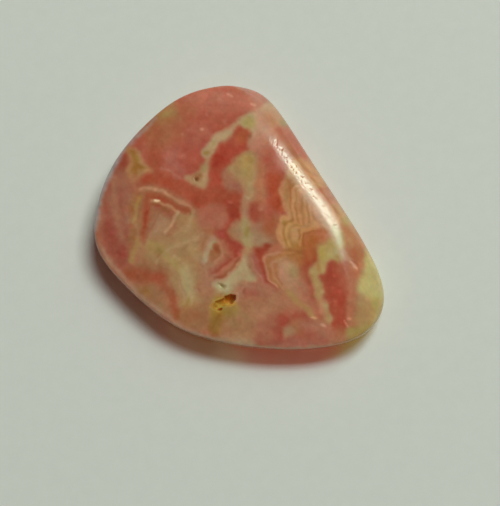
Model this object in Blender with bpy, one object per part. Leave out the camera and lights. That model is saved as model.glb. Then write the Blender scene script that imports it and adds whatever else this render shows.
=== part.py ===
"""Polished slice of banded rhodochrosite: a flat, three-cornered slab with crisp edges.

The body is a polyhedron worn round, and it lies on its flat underside. Steep planes stand along its sides and
two gentler ones, the shoulders, slope from the flat top to the straight side. The surface lies where a high
power mean of the distances to those planes is one. The power sets how round the edge between two planes is,
and it is higher round the rim than between the sides. The broad faces are crowned a little: they come down by
a share that grows with the distance from the middle.
Units are metres, +Z is up, and the origin is the middle of the bounding box's bottom.
"""

import math
from collections import namedtuple

import bmesh
import bpy
import numpy as np
from mathutils import Matrix, Vector
from mathutils.bvhtree import BVHTree

MM = 0.001

# Driving dimensions of the body
THICKNESS = 3.9 * MM
CORE_HEIGHT = 1.9 * MM
UNDERSIDE_TRIM = 0.08 * MM
SIDE_SHARPNESS = 11.0
RIDGE_SHARPNESS = 18.0
RIM_SHARPNESS = 22.0
CROWN = 0.08
CROWN_REACH = 15.0 * MM
UNEVENNESS = 0.004

# A side stands at a compass bearing, in degrees from +X towards +Y. Its widest line, the girdle, is at a
# reach from the middle and at a height. Above the girdle its face looks up by one angle, below it down by
# another.
Side = namedtuple("Side", "bearing reach girdle face_up face_down")
SIDES = {
    "straight side": Side(30.6, 10.11 * MM, 1.4 * MM, 6, 12),
    "far corner": Side(95.1, 14.73 * MM, 1.6 * MM, 6, 12),
    "far left": Side(137.2, 14.3 * MM, 1.6 * MM, 6, 12),
    "left": Side(172.7, 15.29 * MM, 1.9 * MM, 6, 14),
    "near left": Side(224.9, 14.08 * MM, 3.2 * MM, 6, 18),
    "near": Side(261.1, 14.2 * MM, 3.2 * MM, 6, 18),
    "near right": Side(288.4, 17.26 * MM, 3.2 * MM, 6, 18),
    "right corner": Side(345.7, 17.65 * MM, 1.6 * MM, 6, 12),
}

# A shoulder slopes down from the top towards a bearing. It passes through a height at a reach.
Shoulder = namedtuple("Shoulder", "bearing reach height slope")
SHOULDERS = {
    "straight side": Shoulder(36, 8.0 * MM, 3.7 * MM, 38),
    "right corner": Shoulder(16, 10.1 * MM, 3.7 * MM, 32),
}

# Mesh: meridians run from the top's middle over the rim to the underside, with rings closer where they bend
MERIDIANS = 108
RINGS = 36
MARCH_STEPS = 800
RING_SPACING = 1.3 * MM
RING_BEND = math.radians(9.0)
FLATNESS = 0.14

# A pit is an ellipsoid sunk into the top: its place, its size, and the heading of its length.
Pit = namedtuple("Pit", "x y length width depth heading")
PITS = {
    "vug_deep_end": Pit(-0.92 * MM, -8.89 * MM, 1.3 * MM, 1.0 * MM, 1.2 * MM, 25),
    "vug_shallow_end": Pit(-1.77 * MM, -9.29 * MM, 1.7 * MM, 0.8 * MM, 0.6 * MM, 25),
    "pit_beside_vug": Pit(-1.87 * MM, -9.99 * MM, 0.5 * MM, 0.3 * MM, 0.25 * MM, 30),
    "pit_in_seam": Pit(-1.57 * MM, -7.54 * MM, 0.8 * MM, 0.3 * MM, 0.3 * MM, -30),
    "pit_in_middle": Pit(-4.32 * MM, 3.56 * MM, 0.35 * MM, 0.3 * MM, 0.3 * MM, 0),
}
PIT_ICOSPHERE_LEVEL = 3

STONE_COLOUR = (0.37, 0.12, 0.07, 1.0)
STONE_ROUGHNESS = 0.15


def clear_scene():
    for obj in list(bpy.data.objects):
        bpy.data.objects.remove(obj, do_unlink=True)


def new_collection(name):
    collection = bpy.data.collections.new(name)
    bpy.context.scene.collection.children.link(collection)
    return collection


def plane(bearing, lift, reach, height):
    """A plane through a reach and a height, as its unit normal over its distance from the core point."""
    bearing, lift = math.radians(bearing), math.radians(lift)
    level = math.cos(lift)
    normal = np.array((level * math.cos(bearing), level * math.sin(bearing), math.sin(lift)))
    return normal / (reach * level + (height - CORE_HEIGHT) * math.sin(lift))


def side_planes():
    planes = []
    for side in SIDES.values():
        planes.append(plane(side.bearing, side.face_up, side.reach, side.girdle))
        planes.append(plane(side.bearing, -side.face_down, side.reach, side.girdle))
    return np.array(planes)


def top_planes():
    planes = [plane(s.bearing, 90.0 - s.slope, s.reach, s.height) for s in SHOULDERS.values()]
    planes.append(plane(0.0, 90.0, 0.0, THICKNESS))
    return np.array(planes)


def power_mean(values, sharpness):
    """Joins the columns into one, which comes nearer to the greatest of them the higher the sharpness."""
    return (np.maximum(0.0, values) ** sharpness).sum(axis=1) ** (1.0 / sharpness)


def worn_gauge(directions):
    """How far out each direction's end lies, as a share of the way from the core point to the surface."""
    sides = power_mean(directions @ side_planes().T, SIDE_SHARPNESS)
    top = power_mean(directions @ top_planes().T, RIDGE_SHARPNESS)
    under = directions[:, 2] / -(CORE_HEIGHT + UNDERSIDE_TRIM)
    gauge = power_mean(np.stack([sides, top, under], axis=1), RIM_SHARPNESS)
    x, y, z = (directions / np.linalg.norm(directions, axis=1)[:, None]).T
    ripple = np.sin(5.0 * x + 3.0 * y) * np.cos(4.0 * y - 2.0 * x + z)
    return gauge / (1.0 + UNEVENNESS * ripple)


def surface_points(turn, drop):
    """Points of the crowned body at a compass angle and at a drop, 0 on top and pi underneath."""
    level = np.sin(drop)
    directions = np.stack([level * np.cos(turn), level * np.sin(turn), FLATNESS * np.cos(drop)], axis=1)
    points = directions / worn_gauge(directions)[:, None]
    points[:, 2] *= 1.0 - CROWN * (points[:, :2] ** 2).sum(axis=1) / CROWN_REACH**2
    points[:, 2] += CORE_HEIGHT
    return points


def ring_stops(meridian):
    """Points along a meridian, closer together where it bends. The last is where it comes down to z = 0."""
    reach = np.linalg.norm(meridian[:, :2], axis=1)
    height = meridian[:, 2]
    out, up = np.diff(reach), np.diff(height)
    bend = np.abs(np.diff(np.unwrap(np.arctan2(up, out)), prepend=0.0))
    march = np.concatenate([[0.0], np.cumsum(np.hypot(out, up) / RING_SPACING + bend / RING_BEND)])
    last = np.flatnonzero(height > 0.0)[-1]
    ground = np.interp(0.0, height[[last + 1, last]], march[[last + 1, last]])
    stops = np.linspace(0.0, ground, RINGS + 1)[1:]
    return np.stack([np.interp(stops, march, meridian[:, axis]) for axis in range(3)], axis=1)


def body_columns():
    """The points of every meridian, centred over the origin, with the last of each on the ground."""
    drop = np.linspace(0.0, math.pi, MARCH_STEPS)
    columns = []
    for number in range(MERIDIANS):
        turn = np.full(MARCH_STEPS, 2.0 * math.pi * number / MERIDIANS)
        columns.append(ring_stops(surface_points(turn, drop)))
    columns = np.array(columns)
    columns[:, -1, 2] = 0.0
    middle = (columns.max(axis=(0, 1)) + columns.min(axis=(0, 1))) / 2.0
    return columns - (middle[0], middle[1], 0.0), middle


def worn_body():
    """The closed mesh: a fan on the top, split quads down to the ground, and a fan on the flat underside."""
    columns, middle = body_columns()
    pole = surface_points(np.zeros(1), np.zeros(1))[0] - (middle[0], middle[1], 0.0)
    bm = bmesh.new()
    top = bm.verts.new(pole)
    foot = bm.verts.new((0.0, 0.0, 0.0))
    columns = [[bm.verts.new(point) for point in column] for column in columns]
    for here, there in zip(columns, columns[1:] + columns[:1]):
        bm.faces.new((top, here[0], there[0]))
        for ring in range(RINGS - 1):
            bm.faces.new((here[ring], here[ring + 1], there[ring + 1]))
            bm.faces.new((here[ring], there[ring + 1], there[ring]))
        bm.faces.new((foot, there[-1], here[-1]))
    return bm


def top_height(tree, x, y):
    """Height of the body's upper surface over a place."""
    above = Vector((x, y, 2.0 * THICKNESS))
    down = Vector((0.0, 0.0, -1.0))
    return tree.ray_cast(above, down)[0].z


def stone_material():
    material = bpy.data.materials.new("banded rhodochrosite")
    material.use_nodes = True
    shader = material.node_tree.nodes["Principled BSDF"]
    shader.inputs["Base Color"].default_value = STONE_COLOUR
    shader.inputs["Roughness"].default_value = STONE_ROUGHNESS
    shader.inputs["Metallic"].default_value = 0.0
    return material


def add_object(collection, name, bm):
    mesh = bpy.data.meshes.new(name)
    bm.to_mesh(mesh)
    bm.free()
    mesh.shade_smooth()
    obj = bpy.data.objects.new(name, mesh)
    collection.objects.link(obj)
    return obj


def pit_cutter(collection, name, pit, surface):
    """An ellipsoid centred on the surface, so that half of it is cut out."""
    bm = bmesh.new()
    bmesh.ops.create_icosphere(bm, subdivisions=PIT_ICOSPHERE_LEVEL, radius=1.0)
    half_size = Vector((pit.length / 2.0, pit.width / 2.0, pit.depth))
    bmesh.ops.scale(bm, vec=half_size, verts=bm.verts)
    turn = Matrix.Rotation(math.radians(pit.heading), 4, "Z")
    bmesh.ops.transform(bm, matrix=Matrix.Translation((pit.x, pit.y, surface)) @ turn, verts=bm.verts)
    cutter = add_object(collection, name, bm)
    cutter.hide_render = True
    cutter.display_type = "WIRE"
    return cutter


def cut(obj, cutter):
    modifier = obj.modifiers.new(cutter.name, "BOOLEAN")
    modifier.operation = "DIFFERENCE"
    modifier.solver = "EXACT"
    modifier.object = cutter


def main():
    clear_scene()
    parts = new_collection("rhodochrosite slice")
    cutters = new_collection("cutters")
    body = worn_body()
    body_tree = BVHTree.FromBMesh(body)
    stone = add_object(parts, "stone", body)
    stone.data.materials.append(stone_material())
    for name, pit in PITS.items():
        surface = top_height(body_tree, pit.x, pit.y)
        cut(stone, pit_cutter(cutters, name, pit, surface))


main()
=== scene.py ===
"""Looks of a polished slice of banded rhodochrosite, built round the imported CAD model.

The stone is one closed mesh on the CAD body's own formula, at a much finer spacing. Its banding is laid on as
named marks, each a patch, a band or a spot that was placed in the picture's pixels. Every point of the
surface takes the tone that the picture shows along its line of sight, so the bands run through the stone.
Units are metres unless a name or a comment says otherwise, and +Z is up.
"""

import math
from collections import namedtuple

import bmesh
import bpy
import numpy as np
from mathutils import Matrix, Vector


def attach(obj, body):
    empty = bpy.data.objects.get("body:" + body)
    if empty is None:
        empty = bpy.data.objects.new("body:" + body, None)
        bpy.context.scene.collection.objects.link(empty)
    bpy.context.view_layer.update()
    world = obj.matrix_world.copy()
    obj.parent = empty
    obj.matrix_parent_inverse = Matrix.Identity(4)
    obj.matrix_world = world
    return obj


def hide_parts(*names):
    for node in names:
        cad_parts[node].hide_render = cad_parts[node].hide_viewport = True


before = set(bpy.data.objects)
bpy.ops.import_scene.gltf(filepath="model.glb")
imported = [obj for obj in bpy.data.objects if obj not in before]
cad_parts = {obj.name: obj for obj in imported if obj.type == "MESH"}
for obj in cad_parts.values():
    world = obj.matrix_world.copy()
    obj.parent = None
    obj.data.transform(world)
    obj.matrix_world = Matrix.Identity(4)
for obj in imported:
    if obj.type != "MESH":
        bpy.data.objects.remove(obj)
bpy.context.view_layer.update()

MM = 0.001

# Body, as in the CAD source
THICKNESS = 3.9 * MM
CORE_HEIGHT = 1.9 * MM
UNDERSIDE_TRIM = 0.08 * MM
SIDE_SHARPNESS = 11.0
RIDGE_SHARPNESS = 18.0
RIM_SHARPNESS = 22.0
CROWN = 0.08
CROWN_REACH = 15.0 * MM
UNEVENNESS = 0.004

# A side stands at a compass bearing, in degrees from +X towards +Y. Its widest line, the girdle, is at a
# reach from the middle and at a height. Above the girdle its face looks up by one angle, below it down by
# another.
Side = namedtuple("Side", "bearing reach girdle face_up face_down")
SIDES = {
    "straight side": Side(30.6, 10.11 * MM, 1.4 * MM, 6, 12),
    "far corner": Side(95.1, 14.73 * MM, 1.6 * MM, 6, 12),
    "far left": Side(137.2, 14.3 * MM, 1.6 * MM, 6, 12),
    "left": Side(172.7, 15.29 * MM, 1.9 * MM, 6, 14),
    "near left": Side(224.9, 14.08 * MM, 3.2 * MM, 6, 18),
    "near": Side(261.1, 14.2 * MM, 3.2 * MM, 6, 18),
    "near right": Side(288.4, 17.26 * MM, 3.2 * MM, 6, 18),
    "right corner": Side(345.7, 17.65 * MM, 1.6 * MM, 6, 12),
}

# A shoulder slopes down from the top towards a bearing. It passes through a height at a reach.
Shoulder = namedtuple("Shoulder", "bearing reach height slope")
SHOULDERS = {
    "straight side": Shoulder(36, 8.0 * MM, 3.7 * MM, 38),
    "right corner": Shoulder(16, 10.1 * MM, 3.7 * MM, 32),
}

# A pit is an ellipsoid sunk into the top: its place, its size, and the heading of its length.
Pit = namedtuple("Pit", "x y length width depth heading")
PITS = {
    "vug deep end": Pit(-0.92 * MM, -8.89 * MM, 1.3 * MM, 1.0 * MM, 1.2 * MM, 25),
    "vug shallow end": Pit(-1.77 * MM, -9.29 * MM, 1.7 * MM, 0.8 * MM, 0.6 * MM, 25),
    "pit beside vug": Pit(-1.87 * MM, -9.99 * MM, 0.5 * MM, 0.3 * MM, 0.25 * MM, 30),
    "pit in seam": Pit(-1.57 * MM, -7.54 * MM, 0.8 * MM, 0.3 * MM, 0.3 * MM, -30),
    "pit in middle": Pit(-4.32 * MM, 3.56 * MM, 0.35 * MM, 0.3 * MM, 0.3 * MM, 0),
}

# A pit's rim is a little ragged: each wave goes round it so many times and moves it by a share of its reach
RimWave = namedtuple("RimWave", "times start share")
PIT_RIM_WAVES = (RimWave(3.0, 1.0, 0.07), RimWave(7.0, 0.0, 0.05), RimWave(13.0, 0.0, 0.03))

# Mesh: how far apart its rings are on the surface and on the flat underside, how far the surface bends from
# one to the next, and how many times farther apart the points of a ring are
SPACING = 0.114 * MM
FLAT_SPACING = 0.5 * MM
BEND = math.radians(9.0)
RING_STRETCH = 1.05
FEWEST_AROUND = 6
# How finely the body is measured before its points are placed: points round a ring, meridians, and steps down
# a meridian from the top to the underside
MEASURED_AROUND = 90
MERIDIANS = 720
MERIDIAN_STEPS = 900
# The directions from the core point are a ball's, pressed down to this share of its height
FLATNESS = 0.14
# The triangles round the vug are split in four within each of these reaches, one after the other
VUG_CENTRE = (-1.27 * MM, -9.14 * MM)
VUG_FINE_REACHES = (1.35 * MM, 1.25 * MM)

# Chips along the worn ridge, in the picture's pixels: the ridge's course and width, and how many widths off
# they end. A chip is where a noise rises above a level, and it is full where the noise is higher by the edge.
WORN_RIDGE = ((275, 141), (285, 155), (292, 164), (303, 180), (316, 198), (323, 207), (330, 216), (335, 226))
WORN_WIDTH = 3.5
WORN_END = 1.4
CHIP_SIZE = 1.6
CHIP_SEED = 71
CHIP_LEVEL = 0.3
CHIP_EDGE = 0.3
CHIP_DEPTH = 0.009 * MM

# The photograph's camera: what it looks at, how far off and how high it stands, and its scale on the stone
AIM = Vector((1.08, -3.78, 2.5)) * MM
CAMERA_DISTANCE = 200.0 * MM
CAMERA_ELEVATION = math.radians(74.0)
PICTURE_WIDTH = 500
PICTURE_HEIGHT = 506
PIXEL = 0.1 * MM
SENSOR_MM = 36.0
CLIP_START = 1.0 * MM
CLIP_END = 10.0

# Marks: how many steps a course takes from one point to the next, and how much softer than it is given each
# mark's border comes out, as a factor and in pixels
COURSE_STEPS = 6
PATCH_SPREAD = 1.6
PATCH_BLUR = 1.2
SPOT_SPREAD = 1.3
LINE_BLUR = 0.8
# Keeps a length or a share off zero
TINY = 1e-9

# Noise over the picture's plane: how many cells it has each way, the sways that bend the marks' borders, and
# the clouds that shift the tones. Sizes and reaches are in pixels, and shifts in steps of an 8-bit tone.
CLOUD_CELLS = 256
Sway = namedtuple("Sway", "size reach seed")
SWAYS = (Sway(4.0, 0.7, 51), Sway(9.0, 1.2, 101), Sway(21.0, 1.5, 221))
Cloud = namedtuple("Cloud", "size seed shift")
CLOUDS = (
    Cloud(26.0, 1, (3.0, 4.0, 3.0)),
    Cloud(13.0, 2, (2.0, 5.0, 5.0)),
    Cloud(7.0, 3, (3.5, 3.5, 3.0)),
    Cloud(5.0, 4, (-1.0, 3.5, 2.0)),
    Cloud(3.0, 5, (3.0, 3.0, 3.0)),
    Cloud(1.7, 6, (3.0, 3.0, 2.5)),
)

# On the hidden underside the marks drift to and fro by so many pixels, right and down. A drift's waves are in
# radians for each metre along x, y and z.
HIDDEN_DRIFT = 12.0
Drift = namedtuple("Drift", "waves start")
DRIFT_RIGHT = Drift((420.0, 260.0, 900.0), 0.7)
DRIFT_DOWN = Drift((-310.0, 480.0, 700.0), 2.1)

# Painted sheen on the rim: the paler tone of the light that the rim reflects, and how much of it shows, by
# compass bearing. The sheen begins and ends where the surface's normal has an upward share, each with a fade.
RimSheen = namedtuple("RimSheen", "bearing tone amount")
PAINTED_RIM_SHEEN = (
    RimSheen(0.0, (175, 150, 115), 0.2),
    RimSheen(55.0, (170, 130, 105), 0.15),
    RimSheen(100.0, (158, 138, 122), 0.42),
    RimSheen(140.0, (156, 152, 146), 0.5),
    RimSheen(175.0, (152, 158, 156), 0.6),
    RimSheen(205.0, (156, 142, 132), 0.45),
    RimSheen(240.0, (170, 147, 122), 0.45),
    RimSheen(280.0, (184, 160, 132), 0.5),
    RimSheen(320.0, (166, 152, 112), 0.3),
)
SHEEN_BEGINS = 0.997
SHEEN_BEGIN_FADE = 0.3
SHEEN_ENDS = -0.25
SHEEN_END_FADE = 0.35

# How bright the lights make a white top, in red, green and blue. The tones are divided by it.
LIGHT_ON_TOP = np.array((0.645, 0.617, 0.622))

# Stone's finish. A noise has a scale in lumps for each metre, its detail and its roughness.
Noise = namedtuple("Noise", "scale detail roughness")
GROWTH = Noise(900.0, 4.0, 0.6)
GROWTH_RANGE = (0.3, 0.7)
GROWTH_BRIGHTNESS = (0.93, 1.07)
GRAIN = Noise(6000.0, 3.0, 0.6)
GRAIN_RANGE = (0.35, 0.7)
GRAIN_ROUGHNESS = (0.04, 0.1)
GRAIN_BUMP = 0.35
GRAIN_HEIGHT = 0.004 * MM
NICK_SCALE = 3200.0
NICK_RANGE = (0.1, 0.3)
NICK_ROUGHNESS = (0.1, 0.0)
STONE_OPTICS = {
    "Metallic": 0.0,
    "IOR": 1.65,
    "Subsurface Weight": 0.55,
    "Subsurface Radius": (2.4, 0.35, 0.22),
    "Subsurface Scale": MM,
}
# The dull lining of a pit ends at this share of the pit's reach, and fades over so much of it
LINING_END = 1.5
LINING_FADE = 0.2

# Light that shines through the stone into its shadow: the banding mixed with a share of the tone inside,
# times a gain, and growing from one strength to another between two places along x
GLOW_INSIDE = (0.36, 0.13, 0.09, 1.0)
GLOW_INSIDE_SHARE = 0.3
GLOW_GAIN = (1.05, 1.35, 1.7, 1.0)
GLOW_PLACES = (-13.0 * MM, 3.0 * MM)
GLOW_STRENGTHS = (0.62, 1.18)
# Sockets of a Mix node that mixes colours, which share their names with its other sockets
MIX_SHARE, MIX_FIRST, MIX_SECOND, MIX_RESULT = 0, 6, 7, 2

# Paper
FLOOR_HALF = 0.6
FLOOR_CELLS = 4
PAPER_COLOUR = np.array((0.79, 0.805, 0.74))
PAPER_OPTICS = {"Roughness": 0.9, "Specular IOR Level": 0.2}
FIBRE = Noise(700.0, 5.0, 0.65)
FIBRE_RANGE = (0.3, 0.7)
FIBRE_BRIGHTNESS = (0.985, 1.015)
FIBRE_BUMP = 0.3
FIBRE_HEIGHT = 0.02 * MM

# Room and lights. A lamp stands off a direction by two angles, across the stone's ridge and along it. Its
# width and height, across and along too, are angles as the stone sees them, and it is twisted about its own
# beam, all in degrees. Its power is in watts, and it may be left out of the mirror image in the polish.
ROOM_COLOUR = (1.0, 1.0, 1.0, 1.0)
ROOM_STRENGTH = 0.03
RIDGE_BEARING = math.radians(122.0)
LIGHT_DISTANCE = 1.0
KEY_DIRECTION = (0.3, 0.313, 1.0)
WINDOW_DIRECTION = (0.34, 0.27, 1.0)
WHITE = (1.0, 1.0, 1.0)
WINDOW_COLOUR = (0.84, 1.0, 0.83)
Lamp = namedtuple("Lamp", "name direction across along width height twist power colour mirrored")
LAMPS = (
    Lamp("key", KEY_DIRECTION, 0.0, 0.0, 13.0, 30.0, 60.0, 5.5, WHITE, False),
    Lamp("window", WINDOW_DIRECTION, -2.25, 11.45, 13.5, 6.3, 0.0, 0.47, WINDOW_COLOUR, True),
    Lamp("window middle", WINDOW_DIRECTION, -7.75, 10.8, 28.5, 8.0, 0.0, 0.755, WINDOW_COLOUR, True),
    Lamp("window glow", WINDOW_DIRECTION, -18.0, 12.2, 54.0, 8.4, 2.0, 1.0, WINDOW_COLOUR, True),
)


def plane(bearing, lift, reach, height):
    """A plane through a reach and a height, as its unit normal over its distance from the core point."""
    bearing, lift = math.radians(bearing), math.radians(lift)
    level = math.cos(lift)
    normal = np.array((level * math.cos(bearing), level * math.sin(bearing), math.sin(lift)))
    return normal / (reach * level + (height - CORE_HEIGHT) * math.sin(lift))


def side_planes():
    planes = []
    for side in SIDES.values():
        planes.append(plane(side.bearing, side.face_up, side.reach, side.girdle))
        planes.append(plane(side.bearing, -side.face_down, side.reach, side.girdle))
    return np.array(planes)


def top_planes():
    planes = [plane(s.bearing, 90.0 - s.slope, s.reach, s.height) for s in SHOULDERS.values()]
    planes.append(plane(0.0, 90.0, 0.0, THICKNESS))
    return np.array(planes)


def power_mean(values, sharpness):
    """Joins the columns into one, which comes nearer to the greatest of them the higher the sharpness."""
    return (np.maximum(0.0, values) ** sharpness).sum(axis=1) ** (1.0 / sharpness)


def worn_gauge(directions):
    """How far out each direction's end lies, as a share of the way from the core point to the surface."""
    sides = power_mean(directions @ side_planes().T, SIDE_SHARPNESS)
    top = power_mean(directions @ top_planes().T, RIDGE_SHARPNESS)
    under = directions[:, 2] / -(CORE_HEIGHT + UNDERSIDE_TRIM)
    gauge = power_mean(np.stack([sides, top, under], axis=1), RIM_SHARPNESS)
    x, y, z = (directions / np.linalg.norm(directions, axis=1)[:, None]).T
    # The same waves as in the CAD source
    ripple = np.sin(5.0 * x + 3.0 * y) * np.cos(4.0 * y - 2.0 * x + z)
    return gauge / (1.0 + UNEVENNESS * ripple)


def surface_points(turn, drop):
    """Points of the crowned body at a compass angle and at a drop, 0 on top and pi underneath."""
    level = np.sin(drop)
    directions = np.stack([level * np.cos(turn), level * np.sin(turn), FLATNESS * np.cos(drop)], axis=1)
    points = directions / worn_gauge(directions)[:, None]
    points[:, 2] *= 1.0 - CROWN * (points[:, :2] ** 2).sum(axis=1) / CROWN_REACH**2
    points[:, 2] += CORE_HEIGHT
    return points


def marched(meridian):
    """How far along a meridian each of its points lies, counted in spacings and in bends."""
    out = np.diff(np.linalg.norm(meridian[:, :2], axis=1))
    up = np.diff(meridian[:, 2])
    bend = np.abs(np.diff(np.unwrap(np.arctan2(up, out)), prepend=0.0))
    return np.concatenate([[0.0], np.cumsum(np.hypot(out, up) / SPACING + bend / BEND)])


def meridian_drops():
    """For each compass angle, the drop at each ring from the top's middle down to the ground."""
    drops = np.linspace(0.0, math.pi, MERIDIAN_STEPS)
    marches = []
    grounds = []
    for turn in np.linspace(0.0, 2.0 * math.pi, MERIDIANS, endpoint=False):
        meridian = surface_points(np.full(MERIDIAN_STEPS, turn), drops)
        march = marched(meridian)
        last = np.flatnonzero(meridian[:, 2] > 0.0)[-1]
        marches.append(march)
        grounds.append(np.interp(0.0, meridian[[last + 1, last], 2], march[[last + 1, last]]))
    rings = int(round(np.mean(grounds)))
    stops = [np.linspace(0.0, ground, rings + 1) for ground in grounds]
    return np.array([np.interp(stop, march, drops) for stop, march in zip(stops, marches)])


# A ring of points: the number of its first, how many it has, and how many steps on it starts
Ring = namedtuple("Ring", "first count offset")


def alternating(level):
    """Every other ring starts half a step on, so that the triangles between two rings come out even."""
    return 0.5 * (level % 2)


def ring_points(drop_table, level, count, offset):
    """Evenly turned points of one ring."""
    turn = (np.arange(count) + offset) * 2.0 * math.pi / count
    place = turn / (2.0 * math.pi) * MERIDIANS
    low = np.floor(place).astype(int) % MERIDIANS
    share = place - np.floor(place)
    drops = drop_table[low, level] * (1.0 - share) + drop_table[(low + 1) % MERIDIANS, level] * share
    return surface_points(turn, drops)


def zipped(first, second):
    """Triangles between two rings, taken in step round them."""
    faces = []
    first_done = second_done = 0
    while first_done < first.count or second_done < second.count:
        next_of_first = (first_done + 1 + first.offset) / first.count
        next_of_second = (second_done + 1 + second.offset) / second.count
        here = first.first + first_done % first.count
        there = second.first + second_done % second.count
        if second_done >= second.count or (first_done < first.count and next_of_first <= next_of_second):
            first_done += 1
            faces.append((here, there, first.first + first_done % first.count))
        else:
            second_done += 1
            faces.append((here, there, second.first + second_done % second.count))
    return faces


def upper_surface():
    """Points and triangles from the top's middle over the rim to the ground, and the ring on the ground."""
    drop_table = meridian_drops()
    points = [surface_points(np.zeros(1), np.zeros(1))]
    faces = []
    ring = None
    for level in range(1, drop_table.shape[1]):
        measured = ring_points(drop_table, level, MEASURED_AROUND, 0.0)
        around = np.linalg.norm(measured - np.roll(measured, 1, axis=0), axis=1).sum()
        count = max(FEWEST_AROUND, int(round(around / SPACING / RING_STRETCH)))
        if ring is None:
            ring = Ring(1, count, alternating(level))
            faces += [(0, 1 + k, 1 + (k + 1) % count) for k in range(count)]
        else:
            outer = Ring(ring.first + ring.count, count, alternating(level))
            faces += zipped(ring, outer)
            ring = outer
        points.append(ring_points(drop_table, level, ring.count, ring.offset))
    points[-1][:, 2] = 0.0
    return points, faces, ring


def underside(edge, ring):
    """Points and triangles of the flat underside, from the edge and its ring in to the middle."""
    middle = edge.mean(axis=0)
    reach = np.linalg.norm(edge - middle, axis=1).mean()
    levels = int(reach / FLAT_SPACING)
    points = []
    faces = []
    # The turns of the inner rings are counted from the edge's first point
    ring = ring._replace(offset=0.0)
    for level in range(1, levels):
        share = 1.0 - level / levels
        count = max(FEWEST_AROUND, int(round(2.0 * math.pi * reach * share / FLAT_SPACING)))
        inner = Ring(ring.first + ring.count, count, alternating(level))
        turn = (np.arange(count) + inner.offset) / count * len(edge)
        low = np.floor(turn).astype(int)
        part = (turn - low)[:, None]
        outside = edge[low % len(edge)] * (1.0 - part) + edge[(low + 1) % len(edge)] * part
        points.append(middle + (outside - middle) * share)
        faces += zipped(ring, inner)
        ring = inner
    points.append(middle[None, :])
    last = ring.first + ring.count
    faces += [(ring.first + (k + 1) % ring.count, ring.first + k, last) for k in range(ring.count)]
    return points, faces


def stone_surface():
    """Points and triangles of the closed body, centred on a flat foot at z = 0, and its earlier middle."""
    points, faces, ring = upper_surface()
    lower_points, lower_faces = underside(points[-1], ring)
    points = np.concatenate(points + lower_points)
    middle = (points.max(axis=0) + points.min(axis=0)) / 2.0 * (1.0, 1.0, 0.0)
    return points - middle, faces + lower_faces, middle


Patch = namedtuple("Patch", "name tone soft amount points")
Band = namedtuple("Band", "name tone width soft amount points")
Spot = namedtuple("Spot", "name tone x y long across heading soft amount")


def patch(name, tone, soft, *points, amount=1.0):
    """A closed area with a smooth outline through its points."""
    return Patch(name, tone, PATCH_SPREAD * soft + PATCH_BLUR, amount, points)


def band(name, tone, width, soft, *points, amount=1.0):
    """A smooth stroke through its points. Several widths are spread evenly along it."""
    return Band(name, tone, width, soft + LINE_BLUR, amount, points)


def spot(name, tone, x, y, long, across, heading=0, soft=1.0, amount=1.0):
    """An ellipse, with half its length and half its width, and the heading of its length in degrees."""
    return Spot(name, tone, x, y, long, across, heading, SPOT_SPREAD * soft + LINE_BLUR, amount)


# Tones are in steps of an 8-bit display, and places in pixels from the picture's upper left. Later marks lie
# over earlier ones.
BASE_TONE = (163, 103, 76)
RED = (164, 83, 64)
PALE_PINK = (178, 128, 104)
CREAM = (174, 142, 110)
CHALK = (168, 150, 114)
STRAW = (177, 159, 104)
RUST = (166, 96, 60)

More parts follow.
